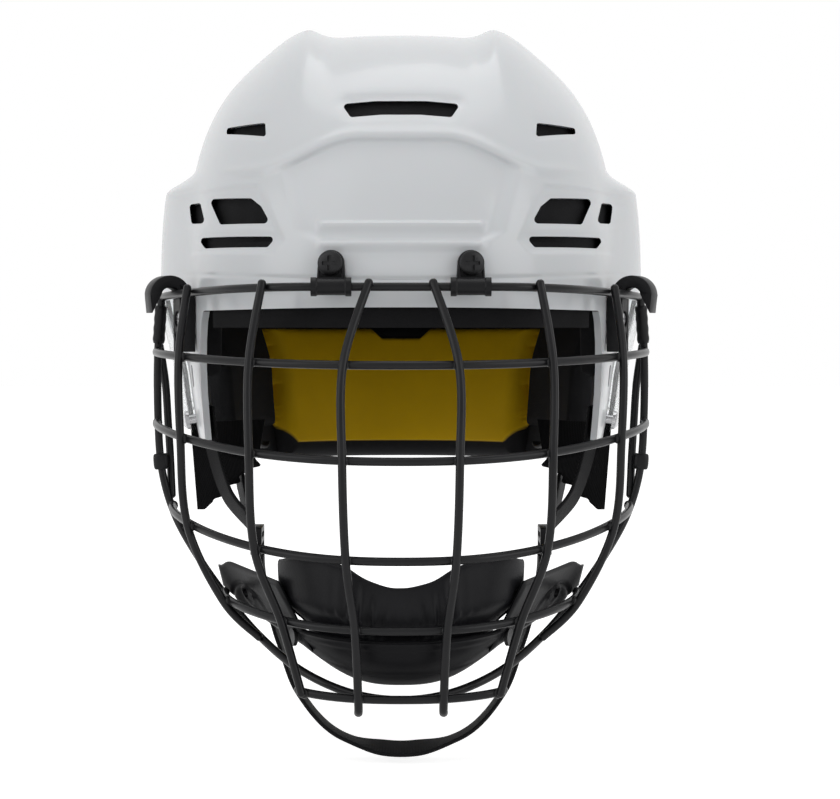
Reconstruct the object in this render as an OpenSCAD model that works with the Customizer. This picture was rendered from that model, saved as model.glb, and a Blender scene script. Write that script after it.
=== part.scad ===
/* [Shell] */
// Width of the dome, above the belt round the temples
dome_w = 192; // [170:1:215]
// How far the belt stands out on each side
belt_out = 12; // [6:1:16]
// Height of the belt's upper edge above the brow rim
belt_z = 56; // [46:1:64]
// Length of the helmet from brow to nape
shell_l = 278; // [255:1:300]
// Distance of the widest section behind the middle of the length
widest_y = 15; // [5:1:22]
// Height of the crown channel above the brow rim
crown_h = 122; // [110:1:135]
// Height of the twin crown ridges above the channel
ridge_h = 6; // [2:0.5:9]
// Distance between the twin crown ridges
ridge_gap = 84; // [70:1:96]
// Thickness of the shells
wall = 3; // [2:0.5:4]
// Drop of the rear shell's lower edge below the brow rim
nape_drop = 70; // [56:1:80]
// Drop of the flange in front of each ear
flange_drop = 57; // [48:1:66]
// Running gap between the front and the rear shell
slide_gap = 1.1; // [1:0.1:1.3]
// Length by which the rear shell lies inside the front shell
overlap = 38; // [34:1:44]
// Depth of the recessed forehead field
field_deep = 2; // [1:0.5:2]

/* [Liner] */
// Thickness of the foam liner
foam_t = 13; // [9:1:16]
// Thickness of the soft pad at the nape
pad_t = 17; // [12:1:20]
// Clearance of the foam from the shell
foam_gap = 0.5; // [0.4:0.1:0.7]

/* [Cage] */
// Diameter of the coated cage wire
wire_d = 3.4; // [3:0.2:4]
// How far the cage stands out beyond the dome on each side
cage_out = 9; // [5:1:13]
// Height of the cage from the top bar to the chin bar
cage_h = 161; // [150:1:172]
// How far the top bar stands ahead of the shells
bar_ahead = 8; // [6:1:12]
// Height of the top bar above the brow rim
bar_z = 8; // [6:1:11]
// How far the cage bulges forward of the top bar
bulge = 23; // [16:1:28]
// Distance of the cage's side rails in front of the helmet's middle
rail_y = 50; // [46:1:56]
// Straight middle length of the top bar
straight_l = 78; // [72:1:86]
// Running clearance of the top bar in its clips
pivot_gap = 0.05; // [0.02:0.01:0.09]

/* [Chin cup] */
// Width of the moulded chin cup
cup_w = 92; // [80:1:98]
// Wall of the moulded chin cup
cup_wall = 2.5; // [2:0.5:3]
// Thickness of the soft pad in the chin cup
cup_pad_t = 8; // [6:1:10]

/* [Fittings] */
// Width of each loop clip on the brow
clip_w = 16; // [13:1:18]
// Distance between the two loop clips
clip_gap = 55; // [50:1:60]
// Wall of the clips round the wire
clip_wall = 2; // [1.5:0.1:2.6]
// Diameter of the fitting screws
screw_d = 4; // [3:0.5:4.5]
// Diameter of the screw heads
head_d = 10; // [8:0.5:11]
// Thickness of the screw heads
head_t = 2.2; // [1.6:0.2:3]
// Width of each temple hook
hook_w = 10; // [8:1:12]
// Thickness of the clear ear guards
guard_t = 2; // [1.5:0.1:2.6]
// Width of the webbing
strap_w = 15; // [12:1:18]
// Thickness of the webbing
strap_t = 1.6; // [1.2:0.2:2]

/* [Hidden] */
$fn = 32;

// Overrun of every cut past the face that it opens
over = 1;
// Clearance of a still piece from the one that carries it
seat = 0.3;

// Half sizes of the dome about its widest section
full_turn = 360;
dome_hw = dome_w / 2;
cage_half_w = dome_hw + cage_out;
bar_y = shell_l / 2 + bar_ahead;
front_l = shell_l / 2 + widest_y;
rear_l = shell_l / 2 - widest_y;

// Exponents of the superellipses: plan in front, plan behind, and the side and front sections
plan_front_share = 2.6;
plan_rear_share = 2.3;
arch_share = 3;
nose_share = 2.5;

// Share by which the skirt draws in at its lowest edge
tuck_share = 0.09;

// Columns round the dome and rows up it and down its skirt
dome_cols = 60;
dome_rows = 12;
skirt_rows = 4;

// Smooth step from 0 at a to 1 at b
function ease(a, b, v) =
    let (t = min(1, max(0, (v - a) / (b - a))))
    t * t * (3 - 2 * t);

// Signed power
function spow(c, e) = sign(c) * pow(abs(c), e);

// Bell of height 1 round a middle, with the given half width
function bell(v, middle, half) = exp(-pow((v - middle) / half, 2));

// Widths and lengths of the dome at a height, each drawn in by the inset
function sink_at(z) = tuck_share * pow(max(0, -z) / nape_drop, 2);
function cap(z, inset, e) =
    pow(max(0, 1 - pow(max(0, z) / (crown_h - inset), e)), 1 / e);
function width_at(z, inset) = (dome_hw - inset) * cap(z, inset, arch_share) * (1 - sink_at(z));
function front_at(z, inset) = (front_l - inset) * cap(z, inset, nose_share);
function rear_at(z, inset) =
    (rear_l - inset) * cap(z, inset, nose_share) * (1 - sink_at(z));

// The belt fades towards the brow, over its upper edge and below the temples
belt_edge = 5;
belt_foot = nape_drop * 0.45;
belt_fade = [dome_hw * 0.73, dome_hw * 0.05];
function belt(y, z) =
    belt_out * ease(-belt_fade[0], -belt_fade[1], y)
    * ease(belt_z + belt_edge, belt_z - belt_edge, z) * ease(-belt_foot, belt_foot / 2, z);

// Twin ridges that run from front to back over the crown
ridge_half = ridge_gap * 0.19;
function ridge(x, z) =
    ridge_h * ease(crown_h * 0.6, crown_h * 0.92, z)
    * max(bell(x, ridge_gap / 2, ridge_half), bell(x, -ridge_gap / 2, ridge_half));

// Recessed forehead field under its arched band
field_half = dome_hw * 0.5;
field_low = crown_h * 0.25;
field_high = crown_h * 0.55;
field_soft = crown_h * 0.03;
function field(x, z) =
    let (top = field_high - crown_h * 0.08 * pow(x / field_half, 2))
    field_deep * ease(field_half, field_half - 2 * field_soft, abs(x))
    * ease(top, top - field_soft, z) * ease(field_low, field_low + field_soft, z);

// Lower edge of the shells at each bearing: brow, flange, ear, nape
flange_front = [55, 65];
flange_back = [85, 92];
ear_back = [110, 124];
ear_rise = nape_drop * 0.1;
function rim(bearing) =
    let (b = abs(bearing))
    b < flange_back[0]
        ? -flange_drop * ease(flange_front[0], flange_front[1], b) - over * ease(0, flange_front[0], b)
        : b < ear_back[0]
            ? -ear_rise - (flange_drop - ear_rise) * ease(flange_back[1], flange_back[0], b)
            : -ear_rise - (nape_drop - ear_rise) * ease(ear_back[0], ear_back[1], b);

// A point of the dome at a bearing, 0 at the brow and positive to the right, and a height
function ring_point(bearing, z, inset) =
    let (ahead = abs(bearing) < 90,
        e = 2 / (ahead ? plan_front_share : plan_rear_share),
        across = spow(sin(bearing), e),
        along = spow(cos(bearing), e),
        face_x = width_at(z, 0) * across,
        face_y = widest_y - (ahead ? front_at(z, 0) : rear_at(z, 0)) * along,
        out = belt(face_y, z) * abs(sin(bearing)) * sign(across),
        dip = ahead ? field(face_x, z) : 0,
        x = width_at(z, inset) * across,
        y = widest_y - (ahead ? front_at(z, inset) : rear_at(z, inset)) * along)
    [x + out, y + dip, z + ridge(face_x, z)];

// The same at a share of the rise: 0 at the brow level, 1 at the crown
function rise_z(v, inset) = (crown_h - inset) * pow(sin(90 * pow(v, 1.5)), 2 / 3);
function dome_point(bearing, v, inset) = ring_point(bearing, rise_z(v, inset), inset);

// Row of the whole shell: the first rows climb the skirt from the rim, the rest the dome
function shell_row(bearing, row, inset) =
    row < skirt_rows
        ? ring_point(bearing, rim(bearing) * (1 - row / skirt_rows), inset)
        : dome_point(bearing, (row - skirt_rows) / dome_rows, inset);

// Closed shell between two insets, open at the bottom
module shell_body(outer_inset, inner_inset) {
    rows = skirt_rows + dome_rows;
    step = full_turn / dome_cols;
    size = rows * dome_cols;
    skin = function (inset) concat(
        [for (j = [0:rows - 1], i = [0:dome_cols - 1]) shell_row(i * step - 180, j, inset)],
        [[0, widest_y, crown_h - inset]]);
    points = concat(skin(outer_inset), skin(inner_inset));
    base = size + 1;
    at = function (i, j) (i % dome_cols) + j * dome_cols;
    // Two facets for each patch; the diagonals on the left mirror those on the right
    patch = function (a, b, c, d, mirrored) mirrored ? [[a, b, d], [b, c, d]] : [[a, b, c], [a, c, d]];
    half = dome_cols / 2;
    faces = concat(
        [for (j = [0:rows - 2], i = [0:dome_cols - 1])
            each patch(at(i, j), at(i, j + 1), at(i + 1, j + 1), at(i + 1, j), i < half)],
        [for (i = [0:dome_cols - 1]) [at(i, rows - 1), size, at(i + 1, rows - 1)]],
        [for (j = [0:rows - 2], i = [0:dome_cols - 1])
            each patch(base + at(i + 1, j), base + at(i + 1, j + 1), base + at(i, j + 1), base + at(i, j),
                i >= half)],
        [for (i = [0:dome_cols - 1]) [base + at(i, rows - 1), base + at(i + 1, rows - 1), base + size]],
        [for (i = [0:dome_cols - 1])
            each patch(at(i, 0), at(i + 1, 0), base + at(i + 1, 0), base + at(i, 0), i < half)]);
    polyhedron(points, faces, convexity = 10);
}

// Closed slab between two surfaces, each a function of two shares from 0 to 1
module slab(outer, inner, cols, rows) {
    points = concat(
        [for (j = [0:rows], i = [0:cols]) outer(i / cols, j / rows)],
        [for (j = [0:rows], i = [0:cols]) inner(i / cols, j / rows)]);
    base = (cols + 1) * (rows + 1);
    at = function (i, j) i + j * (cols + 1);
    faces = concat(
        [for (j = [0:rows - 1], i = [0:cols - 1], k = [0, 1])
            k == 0 ? [at(i, j), at(i, j + 1), at(i + 1, j + 1)] : [at(i, j), at(i + 1, j + 1), at(i + 1, j)]],
        [for (j = [0:rows - 1], i = [0:cols - 1], k = [0, 1])
            k == 0 ? [base + at(i, j), base + at(i + 1, j), base + at(i + 1, j + 1)]
                : [base + at(i, j), base + at(i + 1, j + 1), base + at(i, j + 1)]],
        [for (i = [0:cols - 1], k = [0, 1])
            k == 0 ? [at(i, 0), at(i + 1, 0), base + at(i + 1, 0)] : [at(i, 0), base + at(i + 1, 0), base + at(i, 0)]],
        [for (i = [0:cols - 1], k = [0, 1])
            k == 0 ? [at(i + 1, rows), at(i, rows), base + at(i, rows)]
                : [at(i + 1, rows), base + at(i, rows), base + at(i + 1, rows)]],
        [for (j = [0:rows - 1], k = [0, 1])
            k == 0 ? [at(0, j + 1), at(0, j), base + at(0, j)] : [at(0, j + 1), base + at(0, j), base + at(0, j + 1)]],
        [for (j = [0:rows - 1], k = [0, 1])
            k == 0 ? [at(cols, j), at(cols, j + 1), base + at(cols, j + 1)]
                : [at(cols, j), base + at(cols, j + 1), base + at(cols, j)]]);
    polyhedron(points, faces, convexity = 6);
}

// Smooth curve through hand-set points, with steps between each two
function knot(a, b, c, d, t) =
    (2 * b + (c - a) * t + (2 * a - 5 * b + 4 * c - d) * t * t + (3 * b - a - 3 * c + d) * t * t * t) / 2;
function curve(p, steps) = [
    for (i = [0:len(p) - 2], k = [0:steps - 1])
        knot(p[max(0, i - 1)], p[i], p[i + 1], p[min(len(p) - 1, i + 2)], k / steps),
    p[len(p) - 1],
];
function unit(v) = v / norm(v);
function tangent(p, i) = unit(p[min(len(p) - 1, i + 1)] - p[max(0, i - 1)]);

// Band or wire: a ring of section points carried along a path, kept square to a reference
module sweep(path, section, ref) {
    n = len(section);
    last = len(path) - 1;
    points = [for (j = [0:last], i = [0:n - 1])
        let (t = tangent(path, j), a = unit(cross(ref, t)), b = cross(t, a))
        path[j] + section[i][0] * a + section[i][1] * b];
    at = function (i, j) (i % n) + j * n;
    faces = concat(
        [for (j = [0:last - 1], i = [0:n - 1], k = [0, 1])
            k == 0 ? [at(i, j), at(i, j + 1), at(i + 1, j + 1)] : [at(i, j), at(i + 1, j + 1), at(i + 1, j)]],
        [[for (i = [0:n - 1]) i]],
        [[for (i = [0:n - 1]) at(n - 1 - i, last)]]);
    polyhedron(points, faces, convexity = 8);
}
function ring(r, sides) = [for (i = [0:sides - 1]) r * [cos(full_turn * i / sides), sin(full_turn * i / sides)]];
wire_sides = 8;
module wire(path, ref, r = wire_d / 2) sweep(path, ring(r, wire_sides), ref);

// A copy of its children on each side
module both_sides() {
    children();
    mirror([1, 0, 0]) children();
}

// Places on the shell: outer face at the brow and at the side
function shell_y(x, z) = ring_front(x / width_at(z, 0)) * front_at(z, 0) - widest_y;
function ring_front(s) = pow(1 - pow(abs(s), plan_front_share), 1 / plan_front_share);
function shell_x(y, z) =
    width_at(z, 0) * ring_front((widest_y - y) / front_at(z, 0)) + belt(y, z);
function mix(a, b, t) = a + (b - a) * t;

// Vents of the front shell, as shares of the half width and the crown height
slot_shares = [[-0.236, 0.684], [0.236, 0.684], [0.2, 0.637], [-0.2, 0.637]];
crown_vent_shares = [[0.757, 0.607], [0.594, 0.624], [0.6, 0.58], [0.757, 0.584]];
temple_vent_shares = [[0.955, 0.375], [0.915, 0.38], [0.89, 0.303], [0.94, 0.303]];
side_vent_shares = [[0.851, 0.375], [0.665, 0.382], [0.6, 0.297], [0.806, 0.297]];
low_vent_shares = [[0.896, 0.243], [0.568, 0.249], [0.6, 0.214], [0.86, 0.219]];
// Vents of the rear shell, the same way
rear_vent_shares = [
    [[0.62, 0.78], [0.24, 0.82], [0.22, 0.75], [0.6, 0.7]],
    [[0.78, 0.52], [0.3, 0.6], [0.28, 0.53], [0.76, 0.44]],
    [[0.84, 0.26], [0.36, 0.33], [0.34, 0.27], [0.82, 0.19]],
    [[0.72, -0.1], [0.46, -0.04], [0.46, -0.1], [0.7, -0.17]],
];
vent_r = 1.5;
vent_from = dome_hw * 0.2;

// Cutter for a vent: rounded corners run through the shell from a depth towards the front or back
module vent(shares, towards) {
    hull()
        for (p = shares)
            translate([p[0] * dome_hw, towards * vent_from, p[1] * crown_h])
                rotate([-towards * 90, 0, 0])
                    cylinder(r = vent_r, h = front_l, $fn = 8);
}

// Seam between the shells: the front shell keeps what lies ahead of it
seam_y = overlap / 2;
seam_sweep = seam_y * 0.3;
module behind_seam() {
    far = shell_l;
    rotate([90, 0, 90])
        linear_extrude(height = 2 * far, center = true)
            polygon([[seam_y, -far], [seam_y, belt_z], [seam_y + seam_sweep, crown_h * 0.75],
                [seam_y + seam_sweep, far], [far, far], [far, -far]]);
}

// Places of the screws
clip_screw_z = bar_z + head_d * 0.95;
guard_bearing = 75;
guard_z = -flange_drop * 0.84;
guard_place = ring_point(guard_bearing, guard_z, 0);
size_place = [shell_x(overlap * 0.16, crown_h * 0.2), overlap * 0.16, crown_h * 0.2];
size_sunk = wall * 0.6;
slide_travel = 12;
clip_y = shell_y(clip_gap / 2, clip_screw_z);

module bore(r, length) cylinder(r = r, h = length, center = true);
module hole(r, length) rotate([0, 90, 0]) bore(r, length);

// Frame of the flange screw: its +Z leaves the shell
flange_turn = 6;
flange_reach = head_d / 2;
flange_tilt = atan2(
    ring_point(guard_bearing, guard_z + flange_reach, 0)[0] - ring_point(guard_bearing, guard_z - flange_reach, 0)[0],
    2 * flange_reach);
module on_flange() translate(guard_place) rotate([0, 90 + flange_tilt, -flange_turn]) children();

module front_shell() {
    color("white")
        difference() {
            shell_body(0, wall);
            behind_seam();
            vent(slot_shares, -1);
            both_sides($fn = 16) {
                vent(crown_vent_shares, -1);
                vent(temple_vent_shares, -1);
                vent(side_vent_shares, -1);
                vent(low_vent_shares, -1);
                translate([clip_gap / 2, -clip_y, clip_screw_z])
                    rotate([0, 0, 90 + clip_turn])
                        hole(screw_d / 2 + seat, 6 * wall);
                on_flange() bore(screw_d / 2 + seat, 6 * wall);
                translate(size_place) {
                    hole(screw_d / 2 + seat, 6 * wall);
                    hole(head_d / 2 + seat, 2 * size_sunk);
                }
                for (k = hook_screw_shares)
                    on_hook(k) bore(screw_d / 2 + seat, 6 * wall);
            }
        }
}

rear_inset = wall + slide_gap;
module rear_shell() {
    color("white")
        difference() {
            shell_body(rear_inset, rear_inset + wall);
            translate([-shell_l, -seam_y - shell_l, -shell_l])
                cube([2 * shell_l, shell_l, 2 * shell_l]);
            both_sides($fn = 16) {
                for (v = rear_vent_shares)
                    vent(v, 1);
                hull()
                    for (k = [0, 1])
                        translate([size_place[0], size_place[1] - k * slide_travel, size_place[2]])
                            hole(screw_d / 2 + seat, 8 * wall);
            }
        }
}

// Foam pad under the shell between two bearings and two edges, crowned inwards
function swell(u, v, edge_share) =
    edge_share + (1 - edge_share) * pow(sin(180 * u) * sin(180 * v), 0.5);
module foam(bearings, low, high, inset, thick, cols, rows, grooves = 0) {
    edge_share = 0.55;
    groove_share = 0.25;
    depth = function (u, v)
        thick * swell(u, v, edge_share)
        * (grooves == 0 ? 1 : 1 - groove_share * pow(abs(cos(180 * u * grooves)), 12));
    at = function (u, v, out)
        let (z = mix(low(u), high(u), v))
        ring_point(mix(bearings[0], bearings[1], u), z * (1 - out * max(0, z) / pow(crown_h, 2)), out);
    slab(function (u, v) at(u, v, inset), function (u, v) at(u, v, inset + depth(u, v)), cols, rows);
}

front_foam = wall + foam_gap;
rear_foam = rear_inset + wall + foam_gap;
band_low = -wall * 2.7;
module forehead_liner() {
    color("dimgray")
        difference() {
            foam([-54, 54], function (u) band_low, function (u) crown_h * 0.22, front_foam, foam_t,
                18, 5, 3);
            both_sides()
                translate([clip_gap / 2, -clip_y, clip_screw_z])
                    rotate([-90, 0, clip_turn])
                        cylinder(r = head_d / 2 + seat, h = nut_reach);
        }
}

module temple_liner() {
    foam([60, 78], function (u) -flange_drop * 0.5, function (u) crown_h * 0.36, front_foam + seat,
        foam_t * 0.8, 6, 6);
}
module temple_liner_left() color("dimgray") mirror([1, 0, 0]) temple_liner();
module temple_liner_right() color("dimgray") temple_liner();

module crown_liner_front() {
    color("dimgray")
        foam([-54, 54], function (u) crown_h * 0.66, function (u) crown_h * 0.93,
            front_foam + seat, foam_t * 0.8, 18, 5, 3);
}
module crown_liner_rear() {
    color("dimgray")
        foam([126, 234], function (u) crown_h * 0.66, function (u) crown_h * 0.95,
            rear_foam, foam_t * 0.8, 18, 5, 3);
}
module side_liner() {
    foam([98, 132], function (u) -nape_drop * 0.8, function (u) crown_h * 0.3, rear_foam,
        foam_t * 0.8, 10, 7);
}
module side_liner_left() color("dimgray") mirror([1, 0, 0]) side_liner();
module side_liner_right() color("dimgray") side_liner();

// Soft pad at the nape, with a notch in the middle of its upper edge
notch_deep = pad_t * 0.5;
module rear_pad() {
    top = -nape_drop * 0.12;
    color("goldenrod")
        foam([134, 226], function (u) -nape_drop * 0.96,
            function (u) top - notch_deep * bell(u, 0.5, 0.1), rear_foam, pad_t, 28, 6);
}
module rear_liner() {
    color("dimgray")
        foam([138, 222], function (u) 0, function (u) crown_h * 0.36, rear_foam, foam_t, 14, 5, 3);
}

// Loop clip: a barrel round the top bar and a tab that lies on the brow
clip_r = wire_d / 2 + pivot_gap + clip_wall;
tab_r = clip_w * 0.33;
clip_turn = atan2(shell_y(clip_gap / 2 - tab_r, clip_screw_z) - shell_y(clip_gap / 2 + tab_r, clip_screw_z),
    2 * tab_r);
nut_reach = wall + 3 * seat + head_t;
module cage_clip() {
    tab_back = -clip_y - seat;
    difference() {
        union() {
            translate([clip_gap / 2, -bar_y, bar_z]) hole(clip_r, clip_w);
            translate([clip_gap / 2 - tab_r, -bar_y, bar_z])
                cube([2 * tab_r, bar_y + tab_back - clip_wall / 2, clip_r]);
            translate([clip_gap / 2, tab_back, clip_screw_z])
                rotate([90, 0, clip_turn]) {
                    cylinder(r = tab_r, h = clip_wall);
                    translate([-tab_r, bar_z - clip_screw_z, 0])
                        cube([2 * tab_r, clip_screw_z - bar_z, clip_wall]);
                }
        }
        translate([clip_gap / 2, -bar_y, bar_z]) hole(wire_d / 2 + pivot_gap, clip_w + 2 * over);
        translate([clip_gap / 2, tab_back, clip_screw_z])
            rotate([90, 0, clip_turn])
                cylinder(r = screw_d / 2 + seat / 3, h = 6 * clip_wall, center = true);
    }
}
module cage_clip_left() color("black") mirror([1, 0, 0]) cage_clip();
module cage_clip_right() color("black") cage_clip();

// Pan-head screw along +Z of its own frame, with its head's seat at the origin
module screw(length, head_d = head_d) {
    slot_w = head_d * 0.14;
    difference() {
        rotate_extrude() {
            square([head_d / 2, head_t / 2]);
            intersection() {
                translate([0, head_t / 2]) scale([1, head_t / head_d]) circle(r = head_d / 2);
                square([head_d, head_d]);
            }
            translate([0, -length]) square([screw_d / 2, length + head_t / 2]);
        }
        for (a = [0, 90])
            rotate([0, 0, a])
                translate([-head_d * 0.3, -slot_w / 2, head_t * 0.5])
                    cube([head_d * 0.6, slot_w, head_t]);
    }
}
module clip_screws() {
    color("gainsboro")
        both_sides()
            translate([clip_gap / 2, -clip_y - seat, clip_screw_z])
                rotate([90, 0, clip_turn])
                    translate([0, 0, clip_wall + seat / 3])
                        screw(clip_wall + nut_reach);
}
// Flanged nut inside the shell
module clip_nuts() {
    color("silver")
        both_sides()
            translate([clip_gap / 2, -clip_y, clip_screw_z])
                rotate([-90, 0, clip_turn])
                    translate([0, 0, wall + 3 * seat])
                        difference() {
                            cylinder(r = head_d / 2 - seat, h = head_t / 2);
                            translate([0, 0, -over])
                                cylinder(r = screw_d / 2 + seat / 3, h = head_t + 2 * over);
                        }
}

// Top bar: a straight middle that turns in the clips, and side stretches bent back to the temples
bar_sink = wire_d * 0.9;
bar_shares = [[0.505, 0.943], [0.667, 0.775], [0.81, 0.515], [0.924, 0.227], [0.971, 0.062]];
function bar_point(s) =
    [s[0] * cage_half_w, -mix(rail_y, bar_y, s[1]), bar_z - bar_sink * (1 - s[1])];
bar_knots = concat([[straight_l / 2, -bar_y, bar_z]], [for (s = bar_shares) bar_point(s)]);
module cage_top_bar() {
    sink = wire_d / 2;
    lead = [[straight_l / 2 - sink, -bar_y, bar_z]];
    color("black") {
        translate([0, -bar_y, bar_z]) hole(wire_d / 2, straight_l);
        both_sides()
            wire(concat(lead, curve(bar_knots, 4)), [0, 0, 1], wire_d / 2 * 0.96);
    }
}

// Temple hook: a leg on the shell and a downward hook over the top bar
hook_bar = bar_knots[4];
hook_turn = atan2(bar_knots[5][0] - bar_knots[3][0], bar_knots[5][1] - bar_knots[3][1]);
hook_gap = wire_d / 6;
hook_in = wire_d / 2 + hook_gap;
hook_out = hook_in + clip_wall * 2.2;
hook_reach = (hook_bar[0] - shell_x(hook_bar[1], 0)) * cos(hook_turn) - seat;
hook_leg = hook_w * 2.4;
hook_tip = hook_w * 0.65;
hook_screw_shares = [0.42, 0.78];
hook_head = hook_w * 0.6;
hook_sunk = head_t + seat;
hook_face = hook_reach - hook_in;
// Frame of a hook screw at a share of the leg: +Z leaves the shell, the origin lies on its face
module on_hook(share)
    translate(hook_bar)
        rotate([0, 0, -hook_turn])
            translate([-hook_reach - seat, 0, -hook_leg * share])
                rotate([0, 90, 0])
                    children();
module temple_hook() {
    difference() {
        translate(hook_bar)
            rotate([90, 0, -hook_turn])
                linear_extrude(height = hook_w, center = true)
                    union() {
                        difference() {
                            circle(r = hook_out);
                            circle(r = hook_in);
                            translate([-hook_in, -hook_leg]) square([2 * hook_out, hook_leg]);
                        }
                        translate([-hook_reach, -hook_leg]) square([hook_face, hook_leg]);
                        polygon([[hook_in, 0], [hook_out, 0], [hook_out, -hook_tip]]);
                    }
        for (k = hook_screw_shares)
            on_hook(k) {
                bore(screw_d / 2 + seat / 3, 4 * hook_reach);
                translate([0, 0, seat + hook_face - hook_sunk])
                    cylinder(r = hook_head / 2 + seat, h = 2 * hook_reach);
            }
    }
}
module temple_hook_left() color("black") mirror([1, 0, 0]) temple_hook();
module temple_hook_right() color("black") temple_hook();
module hook_screws() {
    color("gainsboro")
        both_sides()
            for (k = hook_screw_shares)
                on_hook(k)
                    translate([0, 0, seat + hook_face - hook_sunk + seat / 3])
                        screw(hook_face - hook_sunk + wall + 2 * seat, hook_head);
}

// Clear guard over each ear, bulged away from it
guard_bulge = guard_t * 4;
guard_bearings = [guard_bearing - 3, 114];
module ear_guard() {
    low = function (u) -flange_drop * (0.95 - 0.35 * pow(u, 3));
    high = ear_rise * 0.55;
    swollen = function (u, v) guard_bulge * ease(0.1, 0.45, u) * ease(0, 0.3, 1 - u) * (1 - pow(v, 4));
    at = function (u, v, out)
        ring_point(mix(guard_bearings[0], guard_bearings[1], u), mix(low(u), high, v),
            -2 * seat - out - swollen(u, v));
    difference() {
        slab(function (u, v) at(u, v, guard_t), function (u, v) at(u, v, 0), 12, 8);
        on_flange() bore(screw_d / 2 + seat, 8 * wall);
    }
}
module ear_guard_left() color("aliceblue", 0.5) mirror([1, 0, 0]) ear_guard();
module ear_guard_right() color("aliceblue", 0.5) ear_guard();
module guard_screws() {
    color("gainsboro")
        both_sides()
            on_flange()
                translate([0, 0, guard_t + 3 * seat])
                    screw(guard_t + wall + 3 * seat, head_d * 0.8);
}
module size_screws() {
    color("gainsboro")
        both_sides()
            translate(size_place + [seat - size_sunk, 0, 0])
                rotate([0, 90, 0])
                    screw(2 * wall + slide_gap + 2 * seat - size_sunk);
}

// Webbing: a flat band along a route, its width kept near the front-to-back direction
function band(w, t) = [[t / 2, w / 2], [-t / 2, w / 2], [-t / 2, -w / 2], [t / 2, -w / 2]];
module webbing(route, steps) sweep(curve(route, steps), band(strap_w, strap_t), [0, 1, 0]);

// Route of the harness: from the flange and from the rear shell to the slider, then to the chin
slider_place = [61, -70, -98];
anchor_place = [guard_place[0] - wall - seat - strap_t, guard_place[1], guard_z + strap_w * 0.4];
harness_front_route = [anchor_place, [82, -38, -62], [75, -50, -80], [65, -62, -91]];
rear_place = ring_point(121.3, -nape_drop * 0.917, 2 * wall + slide_gap + strap_t * 0.8);
harness_rear_route = [rear_place, [74, 45, -66.5], [73, 5, -74], [69, -28, -84], [65, -56, -92]];
chin_route = [[59, -72, -104.5], [58.5, -72.5, -112], [56, -79, -124], [50, -90, -141], [41, -106, -159],
    [25, -114, -174], [0, -116, -180]];
module side_band(route, side) {
    mirror([side > 0 ? 0 : 1, 0, 0])
        sweep(curve(route, 4), band_across(strap_w, strap_t), [1, 0, 0]);
}
function band_across(w, t) = [[w / 2, t / 2], [-w / 2, t / 2], [-w / 2, -t / 2], [w / 2, -t / 2]];
module harness_front_left() color("black") side_band(harness_front_route, -1);
module harness_front_right() color("black") side_band(harness_front_route, 1);
module harness_rear_left() color("black") side_band(harness_rear_route, -1);
module harness_rear_right() color("black") side_band(harness_rear_route, 1);
slider_size = [strap_t * 3, strap_w * 1.5, strap_w * 0.75];
module harness_sliders() {
    color("black")
        both_sides()
            translate(slider_place)
                difference() {
                    cube(slider_size, center = true);
                    for (k = [-1, 1])
                        translate([0, 0, k * slider_size[2] * 0.2])
                            cube([2 * slider_size[0], strap_w + 2 * seat, slider_size[2] * 0.2], center = true);
                }
}
module chin_strap() {
    other = [for (i = [len(chin_route) - 2:-1:0]) [-chin_route[i][0], chin_route[i][1], chin_route[i][2]]];
    color("black") webbing(concat(chin_route, other), 4);
}

// The cage's front surface at a share of its height
function cage_z(share) = bar_z - share * cage_h;
function cage_front(share) = bar_y + bulge * sin(145 * pow(share, 0.7));

// Cross bars: share of the height at the middle and at the ends, share of the half width, and end distance
bars_shares = [
    [0.19, 0.165, 1, 1],
    [0.42, 0.354, 1, 1],
    [0.66, 0.575, 0.933, 1.08],
    [0.83, 0.785, 0.7, 1.78],
    [1, 0.985, 0.385, 3],
];
function bar_at(k, t) =
    let (b = bars_shares[k], end = rail_y * b[3], rise = pow(abs(sin(t)), 2.5))
    [b[2] * cage_half_w * sin(t), -mix(end, cage_front(b[0]), cos(t)), cage_z(mix(b[0], b[1], rise))];
bar_steps = 16;
weld_turn = 1.2;
module cross_bar(k) {
    reach = 90 - weld_turn;
    color("black")
        wire([for (i = [0:bar_steps]) bar_at(k, mix(-reach, reach, i / bar_steps))], [0, 0, 1]);
}
module cage_eye_bar() cross_bar(0);
module cage_nose_bar() cross_bar(1);
module cage_mouth_bar() cross_bar(2);
module cage_chin_bar() cross_bar(3);
module cage_bottom_bar() cross_bar(4);

// Place of an upright on a cross bar at a share of the half width, set out by the weld
weld = wire_d * 0.92;
function on_bar(k, share) =
    let (b = bars_shares[k], t = asin(min(1, share / b[2])), p = bar_at(k, t),
        a = b[2] * cage_half_w, d = cage_front(b[0]) - rail_y * b[3],
        n = unit([sin(t) / a, -cos(t) / d, 0]))
    p + weld * n;
function on_top(i, share) =
    i < 0 ? [share * cage_half_w, -bar_y - weld, bar_z]
        : let (t = unit(bar_knots[i + 1] - bar_knots[i - 1])) bar_knots[i] + weld * unit([t[1], -t[0], 0]);
module uprights(path) color("black") both_sides() wire(curve(path, 3), [1, 0, 0]);

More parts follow.
